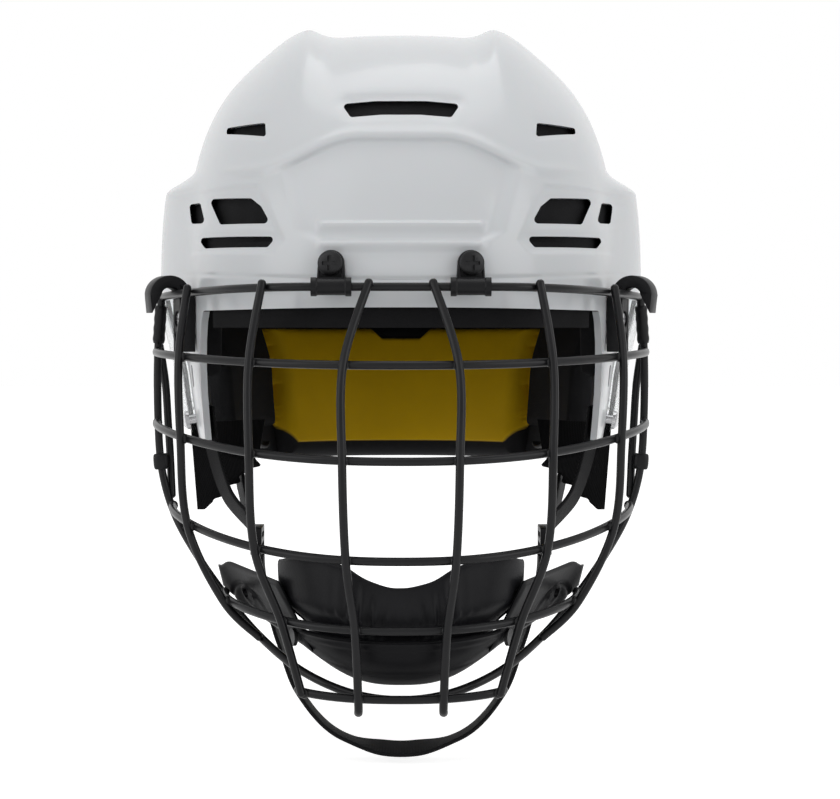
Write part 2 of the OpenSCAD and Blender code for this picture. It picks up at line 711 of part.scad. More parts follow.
inner_shares = [0.12, 0.207, 0.209, 0.196, 0.163, 0.155];
module cage_inner_uprights() {
    low = on_bar(4, inner_shares[5]);
    uprights(concat([on_top(-1, inner_shares[0]) + [0, 0, wire_d / 2]],
        [for (k = [0:4]) on_bar(k, inner_shares[k + 1])], [low + [0, wire_d, -wire_d * 1.6]]));
}
middle_shares = [0.505, 0.553, 0.55, 0.53, 0.43, 0.355];
module cage_middle_uprights() {
    uprights(concat([on_top(1, middle_shares[0]) + [0, 0, wire_d / 2]],
        [for (k = [0:4]) on_bar(k, middle_shares[k + 1])]));
}
outer_shares = [0.81, 0.835, 0.825, 0.8, 0.66];
module cage_outer_uprights() {
    uprights(concat([on_top(3, outer_shares[0]) + [0, 0, wire_d / 2]],
        [for (k = [0:3]) on_bar(k, outer_shares[k + 1])], [rim_knots[7] + [0, -wire_d, 0]]));
}

// Rim wire from one temple round the jaw to the other: shares of the half width, the depth and the height
rim_shares = [
    [0.981, 1.08, 0.025], [1, 1, 0.17], [1, 1, 0.34], [0.985, 1, 0.48], [0.933, 1.06, 0.595],
    [0.84, 1.32, 0.69], [0.705, 1.76, 0.79], [0.55, 2.24, 0.882], [0.38, 2.7, 0.95], [0.19, 2.96, 0.994],
];
function rim_knot(s) = [s[0] * cage_half_w, -s[1] * rail_y, cage_z(s[2])];
rim_knots = [for (s = rim_shares) rim_knot(s)];
rim_low = [0, -rail_y * 3.04, cage_z(1.008)];
module cage_rim_wire() {
    right = [for (i = [len(rim_knots) - 1:-1:0]) rim_knots[i]];
    left = [for (p = rim_knots) [-p[0], p[1], p[2]]];
    color("black") wire(curve(concat(left, [rim_low], right), 2), [0, 1, 0]);
}

// Second wire behind each side rail, welded to it at both ends, in the same shares
side_shares = [
    [0.995, 0.934, 0.15], [0.975, 0.87, 0.25], [0.965, 0.85, 0.36], [0.955, 0.89, 0.45], [0.945, 0.97, 0.55],
];
module cage_side_wires() {
    color("black") both_sides() wire(curve([for (s = side_shares) rim_knot(s)], 3), [0, 1, 0]);
}

// Sleeve: a wall of even thickness round a stretch of wire
module sleeve(path, ref, outer_r, inner_r) {
    n = wire_sides;
    last = len(path) - 1;
    skin = function (r) [for (j = [0:last], i = [0:n - 1])
        let (t = tangent(path, j), a = unit(cross(ref, t)), b = cross(t, a), w = full_turn * i / n)
        path[j] + r * (cos(w) * a + sin(w) * b)];
    base = n * len(path);
    at = function (i, j) (i % n) + j * n;
    faces = concat(
        [for (j = [0:last - 1], i = [0:n - 1], k = [0, 1])
            k == 0 ? [at(i, j), at(i, j + 1), at(i + 1, j + 1)] : [at(i, j), at(i + 1, j + 1), at(i + 1, j)]],
        [for (j = [0:last - 1], i = [0:n - 1], k = [0, 1])
            k == 0 ? [base + at(i, j), base + at(i + 1, j + 1), base + at(i, j + 1)]
                : [base + at(i, j), base + at(i + 1, j), base + at(i + 1, j + 1)]],
        [for (i = [0:n - 1], k = [0, 1])
            k == 0 ? [at(i, 0), at(i + 1, 0), base + at(i + 1, 0)] : [at(i, 0), base + at(i + 1, 0), base + at(i, 0)]],
        [for (i = [0:n - 1], k = [0, 1])
            k == 0 ? [at(i + 1, last), at(i, last), base + at(i, last)]
                : [at(i + 1, last), base + at(i, last), base + at(i + 1, last)]]);
    polyhedron(concat(skin(outer_r), skin(inner_r)), faces, convexity = 4);
}
sleeve_wall = wire_d * 0.25;
module cage_sleeve() {
    path = [mix(rim_knots[0], rim_knots[1], 0.12), mix(rim_knots[0], rim_knots[1], 0.8)];
    sleeve(path, [0, 1, 0], wire_d / 2 + sleeve_wall, wire_d / 2);
}
module cage_sleeve_left() color("black") mirror([1, 0, 0]) cage_sleeve();
module cage_sleeve_right() color("black") cage_sleeve();
module snap_tabs() {
    path = [mix(rim_knots[2], rim_knots[3], 0.7), mix(rim_knots[2], rim_knots[3], 1)];
    color("black") both_sides() sleeve(path, [0, 1, 0], wire_d * 0.95, wire_d / 2 + seat / 3);
}

// Chin cup: a moulded scoop behind the chin bar, its soft pad, side wings and snaps
cup_low = cage_z(0.975);
cup_high = cage_z(0.838);
cup_front = cage_front(bars_shares[3][0]) - wire_d / 2 - seat;
cup_back = cup_front * 0.725;
cup_round = 78;
function cup_point(u, v, inset) =
    let (t = mix(-cup_round, cup_round, u), k = 0.68 + 0.32 * pow(sin(90 * v), 0.8),
        side = pow(abs(sin(t)), 3))
    [(cup_w / 2 * k - inset) * sin(t), -cup_back - ((cup_front - cup_back) * k - inset) * cos(t),
        mix(cup_low + (cup_high - cup_low) * 0.4 * side, cup_high, v)];

// Wing on each side of the cup: corners of its inner face, run back along the jaw to a rounded end
wing_low = [cup_point(0.985, 0.557, cup_wall * 0.28), rim_knot([0.667, 1.68, 0.801])];
wing_high = [
    [cup_w / 2 + 3 * cup_wall, -cup_back - cup_wall * 2.68, cage_z(0.72)],
    rim_knot([0.714, 1.54, 0.702]),
];
wing_across = cup_wall * [0.85, -0.53, 0];
wing_hole_share = 0.6;
function wing_point(u, v, out) =
    let (w = mix(0.5, v, 1 - 0.6 * ease(0.6, 1, u)))
    mix(mix(wing_low[0], wing_low[1], u), mix(wing_high[0], wing_high[1], u), w) + out * wing_across;
module chin_cup() {
    color("dimgray") {
        slab(function (u, v) cup_point(u, v, 0), function (u, v) cup_point(u, v, cup_wall), 18, 6);
        both_sides()
            difference() {
                slab(function (u, v) wing_point(u, v, 1), function (u, v) wing_point(u, v, 0), 8, 2);
                translate(wing_point(wing_hole_share, 0.4, 0))
                    rotate([0, 0, atan2(wing_across[1], wing_across[0])])
                        hole(cup_wall * 0.7, 4 * cup_wall, $fn = 16);
            }
    }
}
pad_rise = cage_h * 0.1;
pad_flare = 0.2;
module chin_cup_pad() {
    inset = cup_wall + foam_gap;
    lift = function (u, v, out)
        let (p = cup_point(u, v, out))
        [p[0] * (1 + pad_flare * ease(0.5, 0.75, v)), p[1],
            p[2] + v * v * pad_rise * (1 + 0.8 * pow(abs(2 * u - 1), 2))];
    color("black")
        slab(function (u, v) lift(u, v, inset),
            function (u, v) lift(u, v, inset + cup_pad_t * swell(mix(0.05, 0.95, u), mix(0.05, 0.95, v), 0.4)),
            18, 8);
}
module chin_cup_snaps() {
    color("silver")
        both_sides()
            translate(cup_point(0.93, 0.7, -4 * seat))
                rotate([90, 0, 67])
                    cylinder(r = cup_wall * 1.4, h = cup_wall * 0.6);
}

front_shell();
rear_shell();
forehead_liner();
temple_liner_left();
temple_liner_right();
crown_liner_front();
crown_liner_rear();
side_liner_left();
side_liner_right();
rear_liner();
rear_pad();
cage_clip_left();
cage_clip_right();
clip_screws();
clip_nuts();
temple_hook_left();
temple_hook_right();
hook_screws();
ear_guard_left();
ear_guard_right();
guard_screws();
size_screws();
harness_front_left();
harness_front_right();
harness_rear_left();
harness_rear_right();
harness_sliders();
chin_strap();
cage_top_bar();
cage_rim_wire();
cage_eye_bar();
cage_nose_bar();
cage_mouth_bar();
cage_chin_bar();
cage_bottom_bar();
cage_inner_uprights();
cage_middle_uprights();
cage_outer_uprights();
cage_side_wires();
cage_sleeve_left();
cage_sleeve_right();
chin_cup();
chin_cup_pad();
chin_cup_snaps();
snap_tabs();
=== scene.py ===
"""Looks of an ice hockey helmet with a wire face cage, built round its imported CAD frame.

Every shape is worked out in millimetres, as whole numpy arrays, and put into the mesh in metres.
"""

import logging
import math
from dataclasses import dataclass
from enum import Enum
from typing import Callable, Optional, Sequence

import bpy
import numpy as np
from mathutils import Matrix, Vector


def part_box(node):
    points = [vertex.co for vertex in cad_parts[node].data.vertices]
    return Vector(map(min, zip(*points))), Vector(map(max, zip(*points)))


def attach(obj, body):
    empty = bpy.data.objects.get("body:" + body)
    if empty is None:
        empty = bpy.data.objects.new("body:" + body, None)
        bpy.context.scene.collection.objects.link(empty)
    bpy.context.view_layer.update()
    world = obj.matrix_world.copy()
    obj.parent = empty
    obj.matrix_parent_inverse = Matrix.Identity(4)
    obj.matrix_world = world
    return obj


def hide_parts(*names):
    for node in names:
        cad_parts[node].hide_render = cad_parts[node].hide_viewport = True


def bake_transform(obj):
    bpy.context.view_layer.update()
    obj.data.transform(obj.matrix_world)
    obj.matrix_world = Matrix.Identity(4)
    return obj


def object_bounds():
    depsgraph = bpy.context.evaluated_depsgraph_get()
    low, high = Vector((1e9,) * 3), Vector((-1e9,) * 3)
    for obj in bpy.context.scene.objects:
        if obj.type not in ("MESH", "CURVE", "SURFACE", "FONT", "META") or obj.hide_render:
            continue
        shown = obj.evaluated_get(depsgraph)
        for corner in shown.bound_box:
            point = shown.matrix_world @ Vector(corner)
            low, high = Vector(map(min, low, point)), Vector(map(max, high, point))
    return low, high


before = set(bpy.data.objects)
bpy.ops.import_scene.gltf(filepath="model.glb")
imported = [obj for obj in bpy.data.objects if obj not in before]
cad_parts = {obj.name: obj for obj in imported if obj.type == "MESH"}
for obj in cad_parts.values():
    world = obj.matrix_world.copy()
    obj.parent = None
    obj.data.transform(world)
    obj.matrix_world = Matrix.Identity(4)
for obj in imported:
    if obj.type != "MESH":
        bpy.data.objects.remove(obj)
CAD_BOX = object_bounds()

log = logging.getLogger("helmet")

Array = np.ndarray
MM = 0.001
UP = (0.0, 0.0, 1.0)
RIGHT = (1.0, 0.0, 0.0)
BACK = (0.0, 1.0, 0.0)
SIDES = {"left": -1.0, "right": 1.0}


class Body(Enum):
    """CAD body that a piece moves with."""

    HELMET = "helmet"
    REAR = "rear_half"
    CAGE = "cage"


class Space(Enum):
    """What a material's pattern follows: the object's own axes, or the places laid over the piece."""

    OBJECT = "Object"
    PLACE = "UV"


# Curves and surfaces.


def ease(a: float, b: float, v: Array) -> Array:
    """Smooth step: t * t * (3 - 2t), where t runs from 0 at a to 1 at b and is held there."""
    t = np.clip((np.asarray(v, float) - a) / (b - a), 0.0, 1.0)
    return t * t * (3.0 - 2.0 * t)


def signed_power(c: Array, e: float) -> Array:
    """The sign of c times its size raised to e."""
    return np.sign(c) * np.abs(c) ** e


def bell(v: Array, middle: float, half: float) -> Array:
    """Bell curve of height 1 round middle: e to the minus square of (v - middle) / half."""
    return np.exp(-(((v - middle) / half) ** 2))


def mix(a: Array, b: Array, t: Array) -> Array:
    """Straight blend from a at t = 0 to b at t = 1."""
    return a + (b - a) * t


def quarter(t: Array) -> Array:
    """Quarter circle from 0 at t = 0 to 1 at t = 1: the root of 1 minus the square of 1 - t."""
    return np.sqrt(1 - (1 - np.clip(t, 0, 1)) ** 2)


def unit_grid(cols: int, rows: int) -> tuple[Array, Array]:
    """Shares from 0 to 1 across and up a grid of rows by cols points."""
    return np.meshgrid(np.linspace(0, 1, cols), np.linspace(0, 1, rows))


def from_edge(u: Array, v: Array, cols: float, rows: float) -> Array:
    """Distance from the nearest edge of a grid, in steps of cols across and rows up."""
    return np.minimum(np.minimum(u, 1 - u) * cols, np.minimum(v, 1 - v) * rows)


def unit(v: Array) -> Array:
    """Vectors of length 1 along v, over the last axis."""
    return v / np.maximum(np.linalg.norm(v, axis=-1, keepdims=True), 1e-9)


def mirrored(points: Array) -> Array:
    """The same points on the other side of the middle plane."""
    return np.asarray(points, float) * np.array([-1.0, 1.0, 1.0])


def smooth_path(knots: Sequence[Sequence[float]], steps: int) -> Array:
    """Catmull-Rom curve through the knots.

    Between knots b and c, with neighbours a and d, a point at t is half of
    2b + (c - a)t + (2a - 5b + 4c - d)t^2 + (3b - a - 3c + d)t^3.

    Args:
        knots: points listed, in millimetres.
        steps: points for each stretch between two knots.

    Returns:
        Array of points, the last knot included.
    """
    p = np.asarray(knots, float)
    before = np.vstack([p[:1], p[:-1]])[:-1]
    after = np.vstack([p[1:], p[-1:]])[1:]
    a, b, c, d = (q[:, None, :] for q in (before, p[:-1], p[1:], after))
    t = (np.arange(steps) / steps)[None, :, None]
    spans = (2 * b + (c - a) * t + (2 * a - 5 * b + 4 * c - d) * t**2 + (3 * b - a - 3 * c + d) * t**3) / 2
    return np.vstack([spans.reshape(-1, 3), p[-1:]])


def run_along(path: Array) -> Array:
    """Distance covered at each point of a path, 0 at the first."""
    return np.concatenate([[0.0], np.cumsum(np.linalg.norm(np.diff(path, axis=0), axis=1))])


def even_path(path: Array, spacing: float) -> Array:
    """The same path with its points set at even distances of about the spacing.

    Args:
        path: points of the route.
        spacing: distance aimed at, in millimetres.

    Returns:
        Array of points, both ends kept.
    """
    run = run_along(path)
    count = max(2, int(round(run[-1] / spacing)) + 1)
    at = np.linspace(0.0, run[-1], count)
    return np.stack([np.interp(at, run, path[:, k]) for k in range(3)], axis=1)


@dataclass
class Surface:
    """Points, faces and, where a pattern follows the surface, a place in millimetres for each point."""

    points: Array
    faces: list
    places: Optional[Array] = None

    def joined(self, *others: "Surface") -> "Surface":
        """This surface and the others as one, each kept closed.

        Args:
            others: surfaces to add.

        Returns:
            One surface, its places 0 where a part has none.
        """
        points, faces, places, base = [], [], [], 0
        for part in (self, *others):
            points.append(part.points)
            faces += [[base + i for i in face] for face in part.faces]
            places.append(part.places if part.places is not None else np.zeros((len(part.points), 2)))
            base += len(part.points)
        return Surface(np.vstack(points), faces, np.vstack(places))

    def mirrored(self) -> "Surface":
        """The surface on the other side of the middle plane, its faces still pointing outwards."""
        return Surface(mirrored(self.points), [face[::-1] for face in self.faces], self.places)

    def on(self, side: float) -> "Surface":
        """The surface as it is, or its mirror image for the left side, -1."""
        return self.mirrored() if side < 0 else self

    def both_sides(self) -> "Surface":
        """The surface and its mirror image."""
        return self.joined(self.mirrored())


def grid_faces(rows: int, cols: int, wrap: bool = False, base: int = 0, flip: bool = False) -> Array:
    """Four-sided faces of a grid of rows by cols points, row after row.

    Args:
        rows: rows of points.
        cols: points in each row.
        wrap: whether the last column joins the first.
        base: number of the grid's first point.
        flip: whether the faces turn the other way.

    Returns:
        Array of faces, four point numbers each.
    """
    i = np.arange(cols if wrap else cols - 1)
    j = np.arange(rows - 1)
    ii, jj = np.meshgrid(i, j)
    nxt = (ii + 1) % cols
    quads = np.stack([jj * cols + ii, jj * cols + nxt, (jj + 1) * cols + nxt, (jj + 1) * cols + ii], axis=-1)
    quads = quads.reshape(-1, 4) + base
    return quads[:, ::-1] if flip else quads


def tube_faces(rings: int, cols: int) -> list:
    """Faces of a tube of rings of cols points each, with one flat face over either end.

    Args:
        rings: rings of points, one after the other.
        cols: points in each ring.

    Returns:
        List of faces, the two ends last.
    """
    last = (rings - 1) * cols
    ends = [list(range(cols))[::-1], [last + i for i in range(cols)]]
    return grid_faces(rings, cols, wrap=True).tolist() + ends


def slab(outer: Array, inner: Array) -> Surface:
    """Closed slab between two grids of the same size, seen from outside as rows up and columns right.

    Args:
        outer: outer face, rows by columns by 3.
        inner: inner face, the same size.

    Returns:
        The closed surface; its places are the column and row distances on the outer face.
    """
    rows, cols = outer.shape[:2]
    size = rows * cols
    index = np.arange(size).reshape(rows, cols)
    loop = np.concatenate([index[0, :-1], index[:-1, -1], index[-1, :0:-1], index[:0:-1, 0]])
    rim = np.stack([loop, np.roll(loop, -1)], axis=1)
    walls = np.stack([rim[:, 1], rim[:, 0], rim[:, 0] + size, rim[:, 1] + size], axis=1)
    faces = np.vstack([grid_faces(rows, cols), grid_faces(rows, cols, base=size, flip=True), walls])
    along = np.cumsum(np.linalg.norm(np.diff(outer, axis=1, prepend=outer[:, :1]), axis=-1), axis=1)
    up = np.cumsum(np.linalg.norm(np.diff(outer, axis=0, prepend=outer[:1]), axis=-1), axis=0)
    place = np.stack([along, up], axis=-1).reshape(-1, 2)
    points = np.vstack([outer.reshape(-1, 3), inner.reshape(-1, 3)])
    return Surface(points, faces.tolist(), np.vstack([place, place]))


def frames_along(path: Array, ref: Sequence[float]) -> tuple[Array, Array, Array]:
    """Directions along a path: forwards, across (square to the reference) and up.

    Across is the reference crossed with the forward direction; up completes the three.

    Args:
        path: points of the route.
        ref: direction that the section's up is kept near.

    Returns:
        Three arrays of unit vectors.
    """
    forward = unit(np.gradient(path, axis=0))
    across = unit(np.cross(np.broadcast_to(np.asarray(ref, float), path.shape), forward))
    return forward, across, np.cross(forward, across)


def swept(
    path: Array,
    section: Array,
    ref: Sequence[float],
    scale: Optional[Array] = None,
    twist: Optional[Array] = None,
) -> Surface:
    """Closed ring of section points carried along a path, with flat ends.

    Args:
        path: points of the route.
        section: points of the ring, as distances across and up.
        ref: direction that the section's up is kept near.
        scale: size of the section at each point of the path, 1 where left out.
        twist: turn of the section at each point, in radians, 0 where left out.

    Returns:
        The closed surface; its places are the distance round the ring and along the path.
    """
    forward, across, up = frames_along(path, ref)
    size = np.ones(len(path)) if scale is None else scale
    if twist is not None:
        c, s = np.cos(twist)[:, None], np.sin(twist)[:, None]
        across, up = c * across + s * up, c * up - s * across
    ring = size[:, None, None] * section[None, :, :]
    points = path[:, None, :] + ring[..., :1] * across[:, None, :] + ring[..., 1:] * up[:, None, :]
    place = np.stack(np.broadcast_arrays(run_along(section)[None, :], run_along(path)[:, None]), axis=-1)
    return Surface(points.reshape(-1, 3), tube_faces(len(path), len(section)), place.reshape(-1, 2))


def circle(radius: float, sides: int) -> Array:
    """Ring of points on a circle, anticlockwise."""
    turn = 2 * np.pi * np.arange(sides) / sides
    return radius * np.stack([np.cos(turn), np.sin(turn)], axis=1)


def rounded_box(width: float, height: float, corner: float, steps: int = 3) -> Array:
    """Ring of points on a rectangle with rounded corners, anticlockwise about its middle.

    Args:
        width: size across.
        height: size up.
        corner: radius of the corners.
        steps: stretches in each corner.

    Returns:
        Array of points across and up.
    """
    signs = np.array([[1, 1], [-1, 1], [-1, -1], [1, -1]])
    centres = signs * np.array([width / 2 - corner, height / 2 - corner])
    turn = np.linspace(0, np.pi / 2, steps + 1)[None, :] + (np.pi / 2 * np.arange(4))[:, None]
    arcs = centres[:, None, :] + corner * np.stack([np.cos(turn), np.sin(turn)], axis=-1)
    return arcs.reshape(-1, 2)


def rod(path: Array, radius: float, ref: Sequence[float], sides: int) -> Surface:
    """Round wire along a path; its ends shrink as the root of 1 minus the share of the radius squared.

    Args:
        path: points of the middle line.
        radius: radius of the wire.
        ref: direction that the section's up is kept near.
        sides: columns round the wire.

    Returns:
        The closed wire.
    """
    t = np.linspace(0.12, 1.0, 5)
    head = unit(path[0] - path[1]) * radius * 0.9
    tail = unit(path[-1] - path[-2]) * radius * 0.9
    path = np.vstack([path[0] + head * (1 - t[:-1, None]), path, path[-1] + tail * (1 - t[-2::-1, None])])
    size = np.ones(len(path))
    cap = np.sqrt(1 - (1 - t[:-1]) ** 2)
    size[: len(cap)] = cap
    size[-len(cap):] = cap[::-1]
    return swept(path, circle(radius, sides), ref, size)


def spun(profile: Array, sides: int, place: Array, axis: Array) -> Surface:
    """Profile of (radius, height) points spun round an axis.

    Args:
        profile: radii and heights from the outer foot to the top, or all the way round.
        sides: columns round the axis.
        place: where height 0 lies.
        axis: direction of growing height.

    Returns:
        The surface, closed where the profile starts and ends at the axis or at itself.
    """
    axis = unit(np.asarray(axis, float))
    e1 = unit(np.cross(UP if abs(axis[2]) < 0.9 else RIGHT, axis))
    e2 = np.cross(axis, e1)
    w = 2 * np.pi * np.arange(sides) / sides
    spoke = np.cos(w)[None, :, None] * e1 + np.sin(w)[None, :, None] * e2
    closed = np.allclose(profile[0], profile[-1])
    points = place + profile[:, :1, None] * spoke + profile[:, 1:, None] * axis
    points = points[:-1] if closed else points
    faces = tube_faces(len(points), sides)
    if closed:
        i, last = np.arange(sides), (len(points) - 1) * sides
        nxt = (i + 1) % sides
        faces = faces[:-2] + np.stack([last + i, last + nxt, nxt, i], axis=1).tolist()
    return Surface(points.reshape(-1, 3), faces)


def plate(outline: Array, thick: float, edge: float, place: Array, right: Array, up: Array) -> Surface:
    """Flat plate over a convex outline, its upper edge bevelled.

    Args:
        outline: points anticlockwise, as distances right and up.
        thick: height over the foot.
        edge: width of the bevel.
        place: where the outline's origin lies on the foot.
        right: direction of the first distance.
        up: direction of the second distance.

    Returns:
        The closed surface.
    """
    right, up = unit(np.asarray(right, float)), unit(np.asarray(up, float))
    out = np.cross(right, up)
    inner = outline - unit(outline - outline.mean(axis=0)) * edge
    rounded = mix(outline, inner, 0.3)
    rings = [(outline, 0.0), (outline, thick - edge), (rounded, thick - edge * 0.3), (inner, thick)]
    points = np.vstack([place + r[:, :1] * right + r[:, 1:] * up + h * out for r, h in rings])
    return Surface(points, tube_faces(len(rings), len(outline)))


# Making objects.


def in_scene(name: str, data: bpy.types.ID) -> bpy.types.Object:
    """New object of a mesh, lamp or camera, linked into the scene."""
    obj = bpy.data.objects.new(name, data)
    bpy.context.scene.collection.objects.link(obj)
    return obj


def set_inputs(made: bpy.types.Node, values: dict) -> None:
    """Sets a node's inputs by name."""
    for label, value in values.items():
        made.inputs[label].default_value = value


def link_inputs(tree: bpy.types.NodeTree, made: bpy.types.Node, sockets: dict) -> None:
    """Links sockets to a node's inputs by name."""
    for label, socket in sockets.items():
        tree.links.new(socket, made.inputs[label])


def masked(obj: bpy.types.Object, domain: str, values: Array) -> None:
    """Lays the lining mask over a piece, one value for each point or face."""
    mask = obj.data.attributes.new("lining", "FLOAT", domain)
    mask.data.foreach_set("value", values.astype(np.float32))


def as_object(name: str, surface: Surface, crease: float = 35.0) -> bpy.types.Object:
    """Makes a mesh object of a surface, smooth but for edges sharper than the crease angle.

    Args:
        name: name of the piece.
        surface: the closed surface, in millimetres.
        crease: angle in degrees past which an edge stays sharp.

    Returns:
        The object, at the origin, in metres.
    """
    mesh = bpy.data.meshes.new(name)
    mesh.from_pydata(surface.points * MM, [], surface.faces)
    if surface.places is not None:
        corner = np.empty(len(mesh.loops), dtype=np.int32)
        mesh.loops.foreach_get("vertex_index", corner)
        mesh.uv_layers.new(name="place").data.foreach_set("uv", surface.places[corner].ravel())
    mesh.validate()
    obj = in_scene(name, mesh)
    shade(obj, crease)
    return obj


def shade(obj: bpy.types.Object, crease: float) -> None:
    """Smooth shading with sharp edges past the crease angle in degrees."""
    obj.data.shade_smooth()
    obj.data.set_sharp_from_angle(angle=math.radians(crease))


def applied(obj: bpy.types.Object, crease: float) -> bpy.types.Object:
    """The object with its modifiers made part of its mesh.

    Args:
        obj: object with modifiers.
        crease: angle in degrees past which an edge stays sharp.

    Returns:
        The same object.
    """
    graph = bpy.context.evaluated_depsgraph_get()
    mesh = bpy.data.meshes.new_from_object(obj.evaluated_get(graph), depsgraph=graph)
    old = obj.data
    obj.modifiers.clear()
    obj.data = mesh
    bpy.data.meshes.remove(old)
    shade(obj, crease)
    return obj


def carved(name: str, body: Surface, cutters: Sequence[Sequence[Surface]], crease: float) -> bpy.types.Object:
    """A body with groups of cutters taken away; the cutters of one group don't overlap.

    Args:
        name: name of the piece.
        body: closed surface.
        cutters: groups of closed surfaces.
        crease: angle in degrees past which an edge stays sharp.

    Returns:
        The carved object.
    """
    obj = as_object(name, body, crease)
    tools = []
    for k, group in enumerate(cutters):
        tool = as_object(f"cutter_{k}", group[0].joined(*group[1:]))
        cut = obj.modifiers.new(f"cut_{k}", "BOOLEAN")
        cut.operation, cut.object, cut.solver = "DIFFERENCE", tool, "MANIFOLD"
        tools.append(tool)
    applied(obj, crease)
    for tool in tools:
        bpy.data.objects.remove(tool)
    return obj


def dress(
    obj: bpy.types.Object,
    body: Body,
    material: bpy.types.Material,
    stands_for: Sequence[str] = (),
) -> bpy.types.Object:
    """Gives a piece its material, its body and the CAD nodes that it stands for.

    Args:
        obj: the piece.
        body: CAD body that it moves with.
        material: its finish.
        stands_for: CAD nodes that it replaces.

    Returns:
        The same piece.
    """
    obj.data.materials.clear()
    obj.data.materials.append(material)
    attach(obj, body.value)
    if stands_for:
        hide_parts(*stands_for)
    log.info("%s: %d faces, on %s", obj.name, len(obj.data.polygons), body.value)
    return obj


# The moulded shell's form.


@dataclass(frozen=True)
class Dome:
    """Form of the moulded shells, the same as the solids', in millimetres."""

    half_w: float = 96.0
    front_l: float = 154.0
    rear_l: float = 124.0
    widest_y: float = 15.0
    crown_h: float = 122.0
    nape_drop: float = 70.0
    flange_drop: float = 57.0
    plan_front: float = 2.6
    plan_rear: float = 2.3
    arch: float = 3.0
    nose: float = 2.5
    tuck: float = 0.09
    belt_out: float = 12.0
    belt_z: float = 56.0
    belt_edge: float = 5.0
    ridge_h: float = 6.0
    ridge_gap: float = 84.0
    wall: float = 3.0
    slide_gap: float = 1.1

    @property
    def rear_inset(self) -> float:
        """Inset of the rear shell's outer face."""
        return self.wall + self.slide_gap

    def cap(self, z: Array, inset: float, e: float) -> Array:
        """Share of the full width at a height: (1 - (z / crown)^e)^(1/e), 1 below the brow."""
        return np.maximum(0.0, 1 - (np.maximum(0.0, z) / (self.crown_h - inset)) ** e) ** (1 / e)

    def sink(self, z: Array) -> Array:
        """Share by which the skirt draws in: the tuck times the square of the share of its drop."""
        return self.tuck * (np.maximum(0.0, -z) / self.nape_drop) ** 2

    def belt(self, y: Array, z: Array) -> Array:
        """How far the belt stands out: three smooth steps, along the side, over its top and at its foot.

        Args:
            y: places along the head.
            z: heights.

        Returns:
            Distances outwards.
        """
        foot = self.nape_drop * 0.45
        return (
            self.belt_out
            * ease(-self.half_w * 0.73, -self.half_w * 0.05, y)
            * ease(self.belt_z + self.belt_edge, self.belt_z - self.belt_edge, z)
            * ease(-foot, foot / 2, z)
        )

    def ridge(self, x: Array, z: Array) -> Array:
        """Height of the twin ridges: a bell on each side, steep towards the channel, gentle outwards.

        Args:
            x: places across the head.
            z: heights.

        Returns:
            Distances up.
        """
        half = self.ridge_gap * 0.19
        side = np.where(np.abs(x) < self.ridge_gap / 2, half * 0.5, half)
        window = ease(self.crown_h * 0.6, self.crown_h * 0.92, z)
        return self.ridge_h * window * bell(np.abs(x), self.ridge_gap / 2, side)

    def rim(self, bearing: Array) -> Array:
        """Height of the lower edge at a bearing in degrees: brow, flange, ear, nape.

        Args:
            bearing: bearings in degrees, 0 at the brow.

        Returns:
            Heights.
        """
        b = np.abs(bearing)
        rise = self.nape_drop * 0.1
        flange = -self.flange_drop * ease(55, 65, b) - ease(0, 55, b)
        ear = -rise - (self.flange_drop - rise) * ease(92, 85, b)
        nape = -rise - (self.nape_drop - rise) * ease(110, 124, b)
        return np.where(b < 85, flange, np.where(b < 110, ear, nape))

    def point(self, bearing: Array, z: Array, inset: Array, relief: Optional[Callable] = None) -> Array:
        """Points of the dome at bearings in degrees, 0 at the brow, and heights.

        The plan is a superellipse: x is the width times sin^(2/n), y the length times cos^(2/n) off
        the widest section. The belt moves x outwards, the relief moves y inwards ahead, the ridge lifts z.

        Args:
            bearing: bearings, positive to the right of the picture.
            z: heights.
            inset: depth inside the outer face.
            relief: depth of the carving at (x, z) of the outer face, ahead of the widest section.

        Returns:
            Array of points.
        """
        bearing, z, inset = np.broadcast_arrays(*(np.asarray(v, float) for v in (bearing, z, inset)))
        rad = np.radians(bearing)
        ahead = np.abs(bearing) < 90
        e = 2 / np.where(ahead, self.plan_front, self.plan_rear)
        across = signed_power(np.sin(rad), e)
        along = signed_power(np.cos(rad), e)

        def width(d: Array) -> Array:
            """Half width at a depth inside the outer face."""
            return (self.half_w - d) * self.cap(z, d, self.arch) * (1 - self.sink(z))

        def length(d: Array) -> Array:
            """Length ahead of or behind the widest section at a depth inside the outer face."""
            tall = self.cap(z, d, self.nose)
            return np.where(ahead, (self.front_l - d) * tall, (self.rear_l - d) * tall * (1 - self.sink(z)))

        face_x = width(np.zeros_like(inset)) * across
        face_y = self.widest_y - length(np.zeros_like(inset)) * along
        out = self.belt(face_y, z) * np.abs(np.sin(rad)) * np.sign(across)
        dip = np.where(ahead, relief(face_x, z), 0.0) if relief else 0.0
        x = width(inset) * across + out
        y = self.widest_y - length(inset) * along + dip * np.sqrt(np.maximum(np.cos(rad), 0.0))
        return np.stack([x, y, z + self.ridge(x, z)], axis=-1)

    def climb(self, rows: int, start: float = 0.0) -> Array:
        """Shares of the crown's height at even distances over the dome: sin(90 v^1.5)^(2/3)."""
        first = (2 / np.pi * math.asin(start**1.5)) ** (2 / 3)
        return np.sin(np.pi / 2 * np.linspace(first, 1.0, rows + 1)[:-1] ** 1.5) ** (2 / 3)

